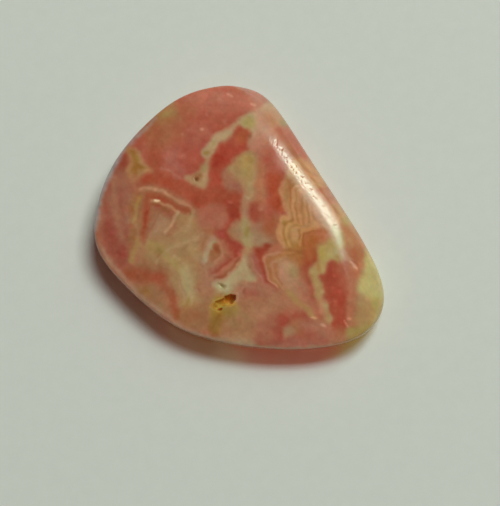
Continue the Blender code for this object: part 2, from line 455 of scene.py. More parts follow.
MARKS = [
    # far red field
    patch("far red field", RED, 4, (225, 78), (262, 88), (274, 100), (264, 105), (252, 109), (244, 114),
        (239, 119), (234, 125), (227, 131), (219, 134), (212, 138), (209, 144), (203, 149), (200, 153),
        (203, 160), (202, 167), (197, 171), (189, 174), (183, 178), (190, 184), (203, 188), (208, 196),
        (206, 205), (196, 205), (184, 199), (170, 192), (155, 188), (140, 187), (134, 180), (140, 173),
        (147, 169), (141, 158), (134, 148), (122, 140), (150, 108), (190, 84)),
    patch("far rose edge", (176, 106, 86), 18, (180, 90), (225, 80), (262, 92), (266, 106), (246, 112),
        (228, 110), (205, 106), (186, 110)),
    patch("far left brown flush", (158, 90, 60), 16, (140, 125), (158, 112), (180, 104), (192, 112),
        (184, 130), (172, 146), (158, 152), (146, 142)),
    spot("rose cloud by the pit", (164, 92, 78), 178, 163, 12, 18, 30, 14, 0.7),
    spot("strong red by the seam", (163, 72, 54), 192, 160, 12, 13, 30, 12, 0.8),
    spot("red cloud", (163, 76, 60), 205, 143, 12, 8, 30, 12, 0.6),
    patch("red above the nested bands", (160, 74, 50), 8, (140, 176), (160, 172), (184, 178), (200, 189),
        (206, 200), (194, 201), (176, 194), (158, 187), (140, 187)),
    spot("red at left of field", (158, 78, 52), 152, 162, 8, 12, 0, 12, 0.7),
    patch("olive blot at the far left rim", (160, 134, 80), 9, (158, 112), (170, 104), (176, 110),
        (172, 118), (160, 121), amount=0.9),
    band("pale wisps", (172, 112, 94), 2.6, 3, (161, 169), (166, 171), (171, 172), (174, 176), (179, 177),
        amount=0.7),
    # Painted glint: a small spark of reflected light, painted as a pale spot
    spot("painted glint a", (200, 130, 110), 203, 130, 1.6, 1.2, 0, 1.4, 0.9),
    spot("pale fleck b", (184, 118, 92), 183, 135, 1.5, 1.2, 0, 2, 0.8),
    spot("pale fleck c", (182, 112, 92), 207, 115, 1.3, 2.0, 20, 2, 0.6),
    spot("pale fleck d", (180, 112, 88), 225, 124, 2.5, 2.5, 20, 3, 0.5),
    spot("pale fleck e", (178, 108, 92), 183, 156, 2.5, 1.6, 20, 3, 0.5),
    spot("pale fleck f", (176, 106, 90), 191, 131, 2.5, 1.6, 20, 3, 0.5),
    # Painted glints: two sparks of reflected light near the far edge, painted as pale spots
    spot("painted glint j", (198, 136, 116), 229, 93, 3.4, 1.2, -15, 1.6, 0.8),
    spot("painted glint k", (200, 140, 118), 254, 103, 3.2, 1.3, -25, 1.6, 0.8),
    spot("pale fleck l", (186, 122, 102), 220, 99, 2.4, 1, 10, 1.6, 0.6),
    patch("thin haze over the far field", (192, 142, 124), 14, (160, 104), (200, 96), (214, 120), (206, 150),
        (200, 175), (190, 200), (165, 180), (152, 140), amount=0.12),
    patch("thin haze near", (188, 140, 112), 8, (258, 306), (292, 302), (304, 312), (318, 330), (312, 344),
        (262, 346), (256, 326), amount=0.16),
    # far cream seam
    patch("far cream seam", CREAM, 3, (278, 104), (268, 104), (260, 108), (252, 111), (246, 115), (240, 120),
        (236, 125), (231, 129), (225, 132), (218, 134), (213, 138), (211, 142), (206, 147), (201, 152),
        (202, 156), (205, 160), (203, 167), (199, 171), (191, 174), (184, 177), (188, 181), (196, 185),
        (204, 188), (207, 183), (208, 174), (208, 166), (210, 159), (214, 153), (218, 149), (221, 143),
        (226, 140), (231, 138), (234, 133), (238, 127), (243, 128), (250, 133), (252, 140), (262, 132),
        (270, 124), (276, 114)),
    patch("far seam tan tail", (164, 122, 86), 4, (206, 160), (203, 168), (196, 172), (184, 177), (192, 184),
        (206, 188), (208, 172), (209, 162), amount=0.55),
    spot("olive blot in the far seam", (164, 142, 88), 249, 124, 6, 6, 0, 6, 0.95),
    spot("olive eye of the seam", (152, 122, 68), 207, 152.5, 3, 2, 30, 3.5, 0.95),
    spot("tan of the seam", (168, 132, 92), 214, 145, 6, 3, 50, 5, 0.7),
    spot("greenish spot by the pit", (158, 128, 84), 203, 169, 3, 3, 30, 5, 0.7),
    spot("brown halo of the pit", (146, 92, 56), 197, 176, 5, 3, 20, 5, 0.85),
    # pinkish area right of the seam
    patch("pinkish field right of the seam", PALE_PINK, 8, (257, 108), (270, 112), (282, 126), (290, 142),
        (282, 152), (270, 152), (262, 160), (252, 158), (250, 148), (250, 136), (256, 124)),
    patch("rosier below", (172, 108, 86), 10, (256, 140), (272, 138), (282, 150), (274, 158), (262, 166),
        (252, 160)),
    patch("red flank", (166, 86, 66), 7, (268, 148), (280, 150), (290, 165), (289, 172), (287, 178),
        (284, 183), (281, 188), (280, 195), (282, 201), (284, 207), (287, 214), (283, 218), (272, 222),
        (264, 220), (262, 208), (264, 195), (264, 180), (262, 165)),
    patch("brown-orange beside it", (168, 106, 74), 8, (256, 162), (263, 162), (266, 178), (266, 198),
        (262, 206), (256, 203), (255, 190), (256, 175)),
    patch("strong orange-red", (167, 76, 50), 6, (270, 172), (283, 172), (285, 180), (281, 188), (279, 196),
        (283, 205), (284, 211), (276, 210), (270, 204), (272, 196), (268, 186)),
    spot("darkest of it", (152, 62, 38), 278, 203, 3, 6, -15, 5, 0.8),
    patch("brown tail of the flank", (160, 94, 64), 8, (264, 218), (279, 218), (278, 230), (278, 242),
        (270, 244), (262, 236), (258, 226)),
    # deep red island, column and lobe
    patch("deep red island", (164, 74, 56), 3, (238, 128), (244, 130), (249, 134), (247, 139), (247, 145),
        (249, 149), (246, 152), (241, 155), (236, 157), (233, 161), (231, 166), (227, 169), (222, 173),
        (222, 180), (223, 186), (229, 189), (236, 189), (242, 190), (243, 195), (241, 201), (241, 207),
        (242, 212), (242, 216), (239, 220), (234, 223), (229, 228), (225, 229), (226, 221), (226, 214),
        (224, 207), (220, 203), (210, 203), (204, 207), (199, 205), (197, 200), (203, 195), (208, 188),
        (209, 174), (210, 163), (213, 157), (218, 150), (221, 144), (228, 140), (233, 135), (236, 130)),
    spot("orange of the island", (164, 84, 52), 241, 137, 6, 5, 60, 6, 0.8),
    spot("brown edge spot", (138, 84, 56), 249, 135, 1.5, 2, 0, 2.5, 0.8),
    spot("dark of the island", (156, 60, 44), 218, 162, 8, 5, 60, 6, 0.7),
    patch("redder band", (156, 74, 52), 5, (210, 190), (240, 190), (240, 202), (222, 202), (205, 205),
        (196, 202), (198, 196)),
    patch("dark lobe", (148, 60, 42), 4, (228, 205), (234, 202), (240, 205), (242, 212), (241, 218),
        (236, 221), (230, 219), (227, 212)),
    spot("pink fleck in the lobe", (176, 92, 74), 230, 203, 3, 1.3, -30, 2.5, 0.8),
    patch("brown-pink right of the column", (158, 98, 76), 7, (224, 174), (233, 170), (242, 178), (247, 188),
        (242, 192), (230, 190), (224, 186)),
    # pink middle
    patch("pink middle", (166, 98, 77), 6, (205, 205), (215, 204), (223, 206), (226, 214), (226, 224),
        (218, 229), (206, 228), (199, 220), (198, 210)),
    spot("brown-orange under it", (158, 94, 62), 209, 232, 6, 4, 10, 7, 0.9),
    patch("lower dark red lobe", (158, 71, 55), 4, (216, 231), (222, 228), (228, 230), (233, 235),
        (240, 239), (243, 245), (241, 251), (238, 256), (233, 258), (229, 255), (226, 249), (222, 243),
        (219, 239), (216, 235)),
    spot("pinker corner", (166, 78, 68), 221, 234, 4, 3, 0, 5, 0.8),
    # central seam
    patch("central seam top", (164, 134, 92), 5, (240, 156), (246, 152), (254, 152), (258, 160), (256, 172),
        (255, 184), (255, 193), (252, 201), (250, 210), (250, 220), (256, 227), (258, 236), (262, 243),
        (256, 247), (251, 252), (248, 258), (244, 256), (246, 249), (244, 244), (238, 240), (232, 236),
        (230, 230), (235, 225), (241, 221), (243, 214), (242, 206), (244, 199), (247, 192), (244, 186),
        (239, 180), (232, 174), (230, 169), (235, 163)),
    patch("olive head", (162, 136, 76), 7, (241, 158), (248, 155), (253, 160), (252, 170), (249, 178),
        (243, 172), (240, 164)),
    spot("brown-olive of it", (158, 120, 62), 250, 161, 4, 3, 0, 4, 0.9),
    patch("pinker neck", (166, 120, 95), 5, (243, 200), (250, 198), (252, 206), (250, 216), (248, 221),
        (243, 218), (242, 208), amount=0.75),
    spot("bright bead of the neck", (184, 148, 118), 249, 196.5, 2, 1.5, 0, 3, 0.9),
    patch("knot of the seam", (162, 138, 98), 6, (233, 228), (242, 223), (251, 223), (258, 230), (262, 238),
        (256, 245), (247, 243), (239, 239), amount=0.8),
    spot("olive of the knot", (150, 124, 66), 247, 231, 2.5, 5, -20, 4, 0.9),
    patch("grey cream right of the knot", (160, 124, 96), 8, (256, 232), (266, 236), (272, 240), (268, 246),
        (258, 247), (253, 240)),
    # red patch beside the neck
    patch("red by the neck", (156, 76, 56), 5, (251, 203), (258, 202), (262, 210), (261, 219), (256, 223),
        (251, 219), (249, 210)),
    spot("pink bead", (174, 112, 92), 262, 208, 3, 3, 30, 4, 0.8),
    spot("rose below", (160, 100, 80), 255, 227, 6, 4, 0, 6, 0.7),
    # chalk triangle
    patch("chalk triangle", CHALK, 3, (246, 256), (250, 263), (254, 271), (258, 279), (252, 282), (244, 281),
        (240, 284), (238, 289), (233, 293), (226, 294), (219, 292), (215, 288), (213, 284), (217, 281),
        (224, 279), (229, 274), (233, 270), (238, 267), (241, 262)),
    patch("tan lining below", (160, 126, 84), 5, (216, 291), (226, 293), (236, 292), (238, 297), (230, 295),
        (222, 297), (214, 300), amount=0.7),
    # banded orange field
    patch("banded orange field", (182, 132, 90), 4, (290, 160), (287, 170), (287, 176), (284, 182),
        (281, 188), (280, 194), (281, 200), (284, 206), (286, 212), (285, 216), (280, 218), (279, 223),
        (278, 228), (277, 235), (279, 240), (282, 246), (288, 250), (298, 251), (306, 249), (320, 244),
        (334, 246), (346, 248), (348, 236), (338, 216), (324, 196), (308, 174), (298, 160)),
    patch("pale skirt of the ridge", PALE_PINK, 12, (296, 178), (306, 182), (324, 206), (340, 232),
        (342, 244), (334, 244), (324, 230), (312, 214), (302, 196), amount=0.75),
    patch("browner top of the bands", (158, 102, 58), 5, (288, 179), (295, 180), (296, 188), (292, 190),
        (287, 190)),
    patch("olive-tan by the red", (168, 122, 76), 5, (283, 190), (287, 190), (288, 204), (286, 208),
        (283, 200), amount=0.8),
    patch("browner foot of the bands", (170, 118, 76), 6, (290, 206), (312, 206), (313, 222), (304, 228),
        (292, 224), amount=0.6),
    patch("ochre foot", (160, 112, 56), 5, (284, 238), (292, 242), (302, 241), (303, 249), (294, 251),
        (286, 248), amount=0.75),
    patch("brown-pink above it", (168, 112, 82), 5, (313, 210), (318, 213), (320, 221), (314, 222),
        amount=0.7),
    spot("brown blot by the ridge", (168, 122, 88), 326, 223, 4, 2.5, 0, 3, 0.9),
    patch("orange-red heart", RUST, 5, (303, 235), (310, 232), (320, 229), (328, 232), (327, 239),
        (320, 243), (313, 250), (304, 250), (302, 242)),
    spot("pink-orange of the heart", (176, 108, 74), 319, 235, 7, 5, 0, 6, 0.8),
    spot("dark of the heart", (154, 82, 42), 311, 243, 2.5, 5, 10, 4, 0.9),
    spot("pale by the heart", (184, 132, 98), 326, 237, 3, 2.5, 0, 4, 0.8),
    band("brown lid of the heart", (156, 96, 52), 2.2, 2, (303, 248), (302.5, 240), (303, 234), (308, 233),
        (313, 231.5)),
    band("pale arch over the heart", (184, 128, 80), 2.4, 2.5, (300, 246), (299.5, 238), (300, 231),
        (306, 229.5), (313, 230)),
    band("band 1 dark", (160, 92, 56), 1.6, 1.4, (289, 186), (289, 200), (290.5, 208), (292.3, 215),
        (293, 221), amount=0.55),
    band("band 1 pale", (194, 138, 98), 2, 1.6, (301, 186.5), (296, 187), (292, 190), (291.5, 199),
        (293.2, 206), (295, 213), (296, 221), amount=0.65),
    band("band 2 dark", (164, 104, 62), 1.5, 1.2, (300, 189.5), (296, 191), (295, 196), (296, 206),
        (297.4, 213), (298, 223), amount=0.55),
    band("band 2 pale", (190, 136, 94), 1.8, 1.4, (301, 192), (298.5, 196), (299, 206), (300, 215),
        (300.3, 224), amount=0.65),
    band("band 3 dark", (162, 106, 64), 1.4, 1.2, (302.5, 195), (302.3, 206), (303, 215), (303, 225),
        amount=0.55),
    band("band 3 pale", (190, 136, 96), 1.5, 1.2, (305, 197), (305.3, 206), (306, 215), (305.6, 224),
        amount=0.65),
    band("band 4 dark", (160, 102, 62), 1.4, 1.2, (307.6, 200), (308, 208), (308.5, 216), (308.3, 222),
        amount=0.55),
    band("band 4 pale", (188, 134, 96), 1.4, 1.2, (310, 203), (310.5, 210), (311, 220), amount=0.65),
    band("band 5 dark", (160, 98, 62), 1.8, 1.6, (312, 206), (313, 213), (314, 220), amount=0.55),
    band("edge pale of the bands", (182, 126, 92), 2.5, 2.5, (284, 183), (281.5, 190), (281.5, 196),
        (283, 201), (285.5, 207), (287.5, 213), (288, 218), amount=0.8),
    spot("olive bead", (152, 114, 58), 283.5, 222, 2.8, 2.4, 0, 3, 0.9),
    band("outer pale of the step", (184, 132, 88), 2.4, 2.4, (286, 218), (280.5, 219), (279.5, 226),
        (278, 233.5), (279.5, 239), (281, 243), (284, 248), amount=0.9),
    band("dark of the step", (160, 104, 54), 2, 2, (292, 221), (286, 222), (284, 227), (284, 234),
        (284.5, 241), (287, 246.5), (291, 250), amount=0.9),
    band("pale of the step", (186, 136, 84), 2, 2, (296, 223), (288, 224), (286.5, 229), (287, 236),
        (286.5, 241), (289, 245.5), amount=0.85),
    band("second dark of the step", (162, 114, 62), 1.8, 2, (300, 226), (292, 226), (289.5, 230),
        (289.5, 238), (291, 243), amount=0.7),
    band("dark slit", (154, 98, 54), 1.8, 2, (298, 230.5), (298.2, 239), amount=0.9),
    # floor of the bands and the boomerang
    patch("brown-orange floor", (164, 104, 60), 5, (280, 250), (290, 250), (304, 250), (306, 262),
        (302, 276), (298, 268), (286, 260), (278, 256)),
    band("floor dark", (150, 92, 50), 2, 2, (281, 250.5), (287, 249.5), (292, 251), (298, 252.5),
        (304, 251.5), amount=0.9),
    band("floor pale", (180, 120, 72), 1.8, 2, (283, 253), (287, 252.8), (292, 252.6), amount=0.8),
    band("floor dark 2", (152, 92, 52), 1.8, 2, (284, 256.3), (290, 255.3), (295, 253.6), (303, 254.5),
        amount=0.8),
    patch("pink red left of the boomerang", (160, 88, 72), 7, (250, 254), (262, 252), (264, 262), (268, 274),
        (274, 288), (266, 286), (256, 276)),
    patch("deep red outside the boomerang", (154, 68, 48), 3.5, (255, 247), (262, 246), (267, 243),
        (272, 246), (268, 251), (263, 255), (263, 261), (265, 268), (268, 276), (273, 284), (277, 290),
        (272, 287), (266, 279), (262, 270), (260, 260), (257, 254)),
    spot("dark of the deep red", (146, 66, 44), 268, 245, 3, 2.5, 0, 4, 0.8),
    patch("pink flare over the boomerang", (170, 104, 76), 4, (272, 248), (279, 244), (284, 249), (280, 253),
        (273, 254)),
    patch("boomerang inside", (172, 128, 96), 7, (279, 262), (290, 262), (299, 266), (301, 278), (304, 292),
        (300, 300), (292, 294), (284, 286), (281, 276)),
    patch("pinker inside", (176, 124, 100), 7, (280, 266), (288, 266), (289, 276), (284, 280), (280, 274),
        amount=0.8),
    spot("olive-tan inside", (164, 134, 92), 293, 270, 6, 5, 0, 7, 0.8),
    band("boomerang brown", (163, 106, 66), 3.4, 2.5, (285, 255.5), (276, 256.5), (268.5, 259.5), (270, 266),
        (272.5, 273), (276, 280), (280, 287)),
    band("boomerang outer pale", (176, 122, 92), 2.4, 2, (281, 252.5), (274, 253.5), (267.5, 255),
        (264.8, 258), (265.5, 263), (268, 269.5), (270, 276), (273, 281.5), (277, 287)),
    band("boomerang second pale", (172, 120, 86), 2.0, 2, (285.5, 257.5), (279.5, 259), (274.5, 260.5),
        (272.6, 263.5), (274, 268), (276, 275), (279, 282), (283, 288)),
    band("boomerang dark line", (156, 98, 58), 1.8, 2, (276.5, 262.5), (277, 268), (279, 276), (282, 283),
        amount=0.8),
    band("pale wisp beside the triangle", (172, 118, 94), 2.4, 3, (251, 258), (253, 264), (255.5, 270),
        (261, 278), (266, 286), amount=0.75),
    spot("brown nick by the triangle", (146, 96, 70), 250.5, 265, 1.6, 3, 15, 2.5, 0.8),
    # small deep red patch and its tail
    patch("little deep red", (156, 70, 44), 4, (304, 250), (316, 250), (318, 258), (316, 264), (311, 267),
        (308, 272), (304, 268), (303, 258)),
    patch("red tail down", (164, 90, 66), 5, (303, 266), (309, 268), (311, 276), (313, 284), (315, 292),
        (317, 300), (322, 308), (324, 316), (320, 320), (315, 310), (310, 300), (307, 290), (304, 280),
        (302, 272)),
    band("red line of the tail", (158, 80, 58), 2.4, 3, (307, 270), (309, 280), (312, 288), (312, 296),
        (315, 304), (318, 311), (320, 317), amount=0.8),
    # beaded cream seam on the right
    patch("right cream head", (172, 146, 90), 3.5, (317, 247), (324, 244), (331, 240), (336, 244),
        (342, 249), (345, 254), (343, 260), (338, 263), (332, 262), (326, 261), (322, 265), (318, 260),
        (318, 253)),
    spot("grey cream of the head", (172, 150, 108), 335, 254, 6, 5, 0, 7, 0.8),
    spot("olive rim of the head", (166, 138, 72), 322, 256, 3, 6, 0, 5, 0.8),
    spot("brown fleck of the head", (160, 122, 72), 338, 258, 2.2, 1.8, 0, 3, 0.8),
    spot("pink end of the head", (178, 134, 104), 343, 252, 3.5, 4, 0, 5, 0.8),
    patch("beaded seam", (168, 134, 84), 2.6, (318, 262), (325, 261), (327, 266), (325, 272), (321, 275),
        (321, 280), (323, 286), (324, 291), (325, 294), (322, 297), (321, 301), (326, 303), (328, 306),
        (327, 311), (331, 315), (332, 319), (330, 323), (325, 321), (323, 314), (321, 308), (317, 302),
        (314, 296), (315, 290), (313, 282), (311, 275), (311, 269), (314, 267)),
    spot("cream bead a", (172, 148, 98), 314, 271, 3, 3, 0, 4, 0.8),
    spot("cream bead b", (176, 146, 98), 323, 269, 2.5, 4, 0, 4, 0.7),
    spot("orange gap in the beads", (166, 110, 64), 319, 268, 1.8, 4, 0, 3, 0.7),
    spot("cream bead c", (174, 138, 98), 322.5, 293, 2.4, 2.8, 0, 3, 0.85),
    spot("cream bead d", (170, 138, 100), 325, 306.5, 3, 3.5, 0, 4, 0.85),
    spot("cream bead e", (172, 140, 102), 330, 318, 2.5, 3.2, 0, 3.5, 0.85),
    patch("pink beside the beads", (176, 112, 84), 4, (315, 301), (321, 302), (323, 309), (325, 318),
        (320, 316), (317, 308), amount=0.8),
    spot("brown nick of the beads", (160, 112, 72), 321, 288, 2, 3, 0, 3, 0.6),
    # big deep red patch
    patch("big deep red", (159, 72, 52), 3.2, (327, 264), (330, 262), (335, 264), (340, 265), (346, 262),
        (350, 268), (350, 278), (348, 288), (347, 300), (346, 312), (345, 322), (345, 331), (341, 337),
        (334, 337), (332, 329), (331, 323), (333, 318), (331, 314), (328, 311), (329, 305), (323, 301),
        (323, 297), (326, 293), (324, 286), (321, 280), (321, 276), (325, 275), (327, 269)),
    spot("darker core", (153, 64, 45), 330, 283, 5, 13, 0, 8, 0.8),
    spot("vivid low core", (160, 70, 50), 336, 300, 6, 24, 0, 8, 0.6),
    patch("mottled top right", (164, 98, 72), 8, (339, 264), (348, 262), (353, 272), (352, 284), (346, 288),
        (341, 276), amount=0.8),
    patch("brown foot of it", (158, 92, 62), 6, (333, 329), (345, 330), (344, 338), (334, 338), amount=0.8),
    spot("red fleck a", (176, 88, 66), 333.5, 275.5, 1.6, 1.6, 0, 2, 0.8),
    spot("red fleck b", (172, 82, 62), 331.5, 288.5, 1.8, 1.3, 0, 2, 0.7),
    spot("red fleck c", (174, 82, 64), 338.5, 292.5, 1.6, 1.3, 0, 2, 0.8),
    spot("red fleck d", (174, 88, 68), 335.5, 301.5, 1.6, 1.3, 0, 2, 0.7),
    spot("red fleck e", (172, 86, 66), 335, 305.5, 1.6, 1.3, 0, 2, 0.7),
    # strip between the red and the tip
    patch("orange-pink strip", (169, 104, 76), 6, (350, 262), (358, 258), (363, 262), (362, 272), (358, 280),
        (357, 290), (358, 300), (358, 312), (356, 324), (348, 328), (347, 316), (348, 300), (349, 284)),
    patch("tip field", STRAW, 5, (365, 250), (363, 258), (364, 266), (362, 273), (359, 279), (357, 286),
        (358, 294), (364, 299), (370, 303), (376, 308), (374, 320), (384, 320), (392, 300), (388, 270),
        (374, 246)),
    spot("greener rim of the tip", (166, 152, 86), 377, 300, 4, 6, 0, 6, 0.8),
    patch("brown-pink under the tip", (163, 128, 86), 7, (358, 296), (366, 299), (374, 306), (377, 316),
        (370, 324), (360, 326), (354, 316)),
    patch("olive-brown rim low", (164, 138, 78), 6, (372, 300), (384, 300), (383, 318), (374, 330),
        (362, 330), (366, 324), (374, 318)),
    patch("low olive patch", (157, 131, 78), 5, (346, 331), (352, 327), (362, 327), (372, 326), (380, 326),
        (366, 342), (346, 348), (344, 338)),
    # Painted glints: sparks of reflected light, painted as a pale spot and a pale stroke
    spot("painted glint g", (206, 140, 112), 349, 319, 3, 1.2, -10, 1.4, 0.9),
    band("painted glint h", (204, 136, 110), 1.6, 1.4, (342.5, 321), (345, 324.5), (348, 328), amount=0.8),
    # facet beyond the ridge
    patch("facet tan top", (172, 136, 100), 6, (268, 104), (276, 108), (284, 120), (279, 122), (270, 114)),
    patch("facet brown-pink", (176, 122, 90), 6, (266, 114), (276, 116), (282, 124), (276, 128), (268, 122)),
    spot("facet olive spot", (140, 122, 78), 284, 124, 4, 3, -50, 4, 0.9),
    patch("facet red", (166, 88, 66), 4, (278, 128), (286, 128), (296, 136), (304, 148), (310, 159),
        (302, 158), (294, 150), (284, 140), (277, 131)),
    patch("facet orange", (178, 128, 88), 5, (298, 160), (310, 159), (322, 172), (334, 190), (326, 190),
        (316, 188), (304, 170)),
    band("facet fine band a", (188, 136, 90), 1.6, 2, (304, 163), (312, 167), (319, 171), amount=0.8),
    band("facet fine band b", (164, 112, 76), 1.6, 2, (304, 167), (312, 171), (320, 175), amount=0.6),
    band("facet fine band c", (190, 140, 98), 1.6, 2, (308, 172), (316, 177), (324, 181), amount=0.7),
    band("facet fine band d", (166, 112, 74), 1.6, 2, (308, 176), (317, 181), (326, 185), amount=0.6),
    band("facet fine band e", (190, 138, 96), 1.6, 2, (312, 179), (320, 184), (328, 188), amount=0.7),
    patch("facet redder", (168, 98, 70), 4, (317, 188), (332, 187), (336, 194), (326, 194), (318, 192),
        amount=0.8),
    patch("facet pink", (176, 120, 96), 6, (320, 194), (336, 194), (342, 206), (334, 208), (326, 204),
        amount=0.8),
    patch("facet orange-brown", (176, 130, 90), 6, (332, 206), (344, 206), (354, 226), (346, 228),
        (340, 220)),
    spot("facet olive", (164, 136, 86), 346, 221, 3, 5, 30, 5, 0.8),
    patch("facet low brown", (168, 112, 78), 6, (346, 226), (356, 228), (366, 246), (366, 254), (352, 250),
        (346, 240)),
    patch("facet low red", (160, 92, 62), 5, (349, 250), (362, 246), (366, 254), (362, 262), (354, 262),
        (348, 256)),
    # Straw tone under the ridge's end, partly a painted highlight that widens the reflection's end and turns
    # it greenish white
    patch("straw and painted highlight under the ridge end", (172, 162, 114), 4, (332, 228), (342, 230), (345, 240), (343, 248),
        (337, 246), (333, 238), amount=0.7),
    # Painted glints: reflections in dents at the ridge's end, painted as pale strokes
    band("painted glint at the ridge end", (190, 148, 124), 4.5, 2, (344, 253), (347, 258), (351, 261),
        amount=0.6),
    band("short painted glint beside it", (204, 160, 140), 1.8, 1.4, (350.5, 262), (353, 265), (357, 267),
        amount=0.75),
    band("dark line beside the glint", (138, 76, 56), 1.2, 1.2, (351.5, 260.5), (354.5, 263), (358, 265),
        amount=0.6),
    # nested bands on the left
    patch("brown-tan far left", (154, 96, 74), 12, (106, 176), (118, 160), (128, 168), (136, 184),
        (140, 205), (138, 240), (128, 262), (112, 262), (100, 236), (98, 205)),
    patch("olive-brown beside the nest", (152, 100, 64), 5, (130, 196), (143, 192), (143, 232), (136, 250),
        (129, 262), (131, 236), (128, 214)),
    patch("left deep red", (146, 72, 56), 8, (104, 226), (109, 220), (114, 226), (120, 240), (126, 250),
        (129, 258), (124, 268), (117, 264), (109, 250), amount=0.9),
    # Painted glint: a small spark of reflected light, painted as a pinker spot
    spot("painted glint in the left red", (160, 76, 68), 112.5, 233, 2, 2, 0, 3, 0.7),
    spot("brighter low red", (150, 68, 54), 124, 252, 4, 7, 0, 7, 0.8),
    band("far left red streak a", (150, 78, 62), 5, 5, (109, 186), (106, 200), (107, 214), (111, 226),
        amount=0.55),
    band("far left tan streak", (160, 108, 80), 3, 4, (115, 178), (113, 192), (114, 206), (118, 222),
        (124, 238), amount=0.6),
    band("far left red streak b", (148, 80, 62), 3.4, 4, (120, 190), (119, 204), (122, 218), (127, 232),
        (130, 246), amount=0.5),
    band("pale thread far left", (158, 104, 84), 2.5, 4, (128, 196), (127, 206), (125, 216), (127, 222),
        amount=0.6),
    spot("red dash", (156, 84, 60), 131, 226, 3.5, 1.8, 0, 3, 0.7),
    spot("brown dash", (144, 88, 52), 131, 238, 3.5, 2, 0, 3, 0.6),
    patch("dark red by the cream spot", (142, 70, 52), 6, (128, 152), (129, 160), (127, 168), (120, 171),
        (114, 170), (119, 160)),
    patch("cream spot skin", (168, 122, 82), 3.4, (129, 150), (132, 148), (138, 152), (140, 159), (146, 166),
        (152, 171), (146, 174), (139, 178), (132, 183), (129, 178), (128, 168), (130, 160)),
    patch("cream spot heart", (148, 98, 48), 3, (131, 152), (134, 152), (137, 158), (139, 163), (144, 167),
        (144, 170), (138, 171), (136, 175), (133, 170), (134, 161)),
    spot("cream spot olive", (150, 110, 54), 136, 158, 2, 2.5, 0, 3, 0.8),
    patch("pinkish below the spot", (158, 98, 72), 6, (129, 180), (137, 178), (138, 190), (134, 196),
        (129, 190), amount=0.7),
    patch("nest outer field", (156, 104, 76), 6, (142, 188), (160, 188), (178, 197), (196, 207), (197, 214),
        (190, 232), (176, 240), (160, 244), (146, 240), (141, 216)),
    patch("nest tan right", (160, 116, 78), 6, (180, 212), (194, 214), (196, 226), (186, 236), (172, 238),
        (176, 226)),
    patch("nest red band", (155, 82, 56), 3.2, (144, 194), (156, 194), (165, 197), (174, 202), (184, 206),
        (191, 210), (188, 214), (178, 211), (168, 207), (160, 203), (152, 202), (149, 208), (148, 222),
        (147, 236), (143, 246), (142, 232), (143, 214), (142, 202)),
    patch("nest inner red", (158, 88, 66), 3.5, (152, 206), (160, 206), (168, 211), (175, 212), (173, 218),
        (168, 218), (160, 211), amount=0.8),
    patch("nest heart", (159, 120, 90), 5, (153, 220), (162, 214), (170, 220), (168, 227), (160, 234),
        (152, 236)),
    band("nest dark under line", (142, 84, 52), 2.4, 2.4, (152, 205), (158, 205), (164, 209.5), (169, 212),
        amount=0.8),
    band("nest red upright", (150, 66, 44), 2.4, 2.6, (147.5, 208), (146, 214), (145.3, 221), (145, 227),
        amount=0.9),
    band("nest outer pale", (176, 124, 94), 3.4, 3, (139, 191), (146, 189.5), (153, 190.5), (160, 190.5),
        (165, 193), (170, 196.5), (177, 200), (184, 202.5), (190, 206), (194.5, 210.5)),
    spot("nest bright bead a", (190, 134, 106), 154, 191.3, 2.2, 1.2, 0, 2, 0.8),
    spot("nest bright bead b", (182, 134, 108), 167, 194, 2.2, 1.3, -30, 2, 0.7),
    band("nest outer turn", (170, 130, 96), 3.6, 3, (194.5, 210.5), (193, 215), (191.5, 220), (190, 226),
        (187, 232), amount=0.8),
    band("nest inner pale", (176, 126, 90), 2.6, 2.2, (151, 202), (158, 202.3), (163, 204.5), (168, 206.5),
        (172, 208.8), (178, 211.5)),
    spot("nest glint", (244, 206, 172), 157, 201.3, 3.2, 1.1, 0, 1.2, 0.95),
    band("nest bright diagonal", (178, 138, 106), 3, 3, (179, 212.5), (176, 217.5), (173, 222),
        (169.5, 226.5), (166, 231)),
    band("nest inner left pale", (164, 96, 68), 2, 2.4, (149, 201), (147.8, 205), (147, 209), amount=0.8),
    spot("nest red nick", (152, 74, 58), 157, 206.5, 3, 1.2, 0, 2, 0.8),
    band("nest olive left a", (168, 122, 66), 3, 3.4, (138, 197), (136.8, 202), (136, 207), amount=0.8),
    band("nest olive left b", (164, 126, 82), 4, 4, (136, 209), (134.6, 215), (134.3, 221), amount=0.9),
    band("nest pink left c", (162, 112, 86), 3, 4, (138, 226), (138.5, 232), (138, 237), amount=0.8),
    band("nest olive left d", (158, 122, 72), 3.6, 4, (138, 240), (138, 245), (135.5, 250), (133.2, 256),
        (131, 262), amount=0.9),
    spot("nest end bead", (176, 122, 88), 189.3, 213, 1.4, 1.2, 0, 2, 0.7),
    spot("nest end nick", (140, 94, 54), 191, 213, 1, 1.6, 0, 2, 0.7),
    band("nest streak a", (170, 132, 100), 2.4, 3, (187, 226), (176, 234), (163, 241), (150, 248),
        amount=0.6),
    band("nest streak c", (168, 124, 94), 1.8, 2.4, (163, 222), (158, 229), (152, 236), (148, 243),
        amount=0.55),
    band("nest streak d", (150, 92, 70), 1.8, 2.4, (158, 214), (154, 222), (150, 231), (147, 240),
        amount=0.5),
    # tan and cream near left
    patch("tan near left", (160, 122, 84), 12, (140, 248), (160, 238), (178, 236), (196, 228), (204, 240),
        (202, 258), (200, 276), (202, 300), (196, 318), (184, 322), (178, 306), (170, 288), (158, 272),
        (142, 264)),
    spot("cream cloud", (170, 132, 98), 197, 257, 4, 4, 0, 5, 0.8),
    band("olive course", (160, 130, 80), 9, 8, (150, 247), (158, 247), (164, 253), (170, 260), (177, 266),
        (183, 276), (188, 288), (190, 296), amount=0.75),
    spot("olive knot a", (148, 114, 62), 160, 251, 3, 4, 20, 5, 0.6),
    patch("pale course", (172, 150, 112), 8, (180, 268), (190, 268), (194, 280), (194, 296), (186, 296),
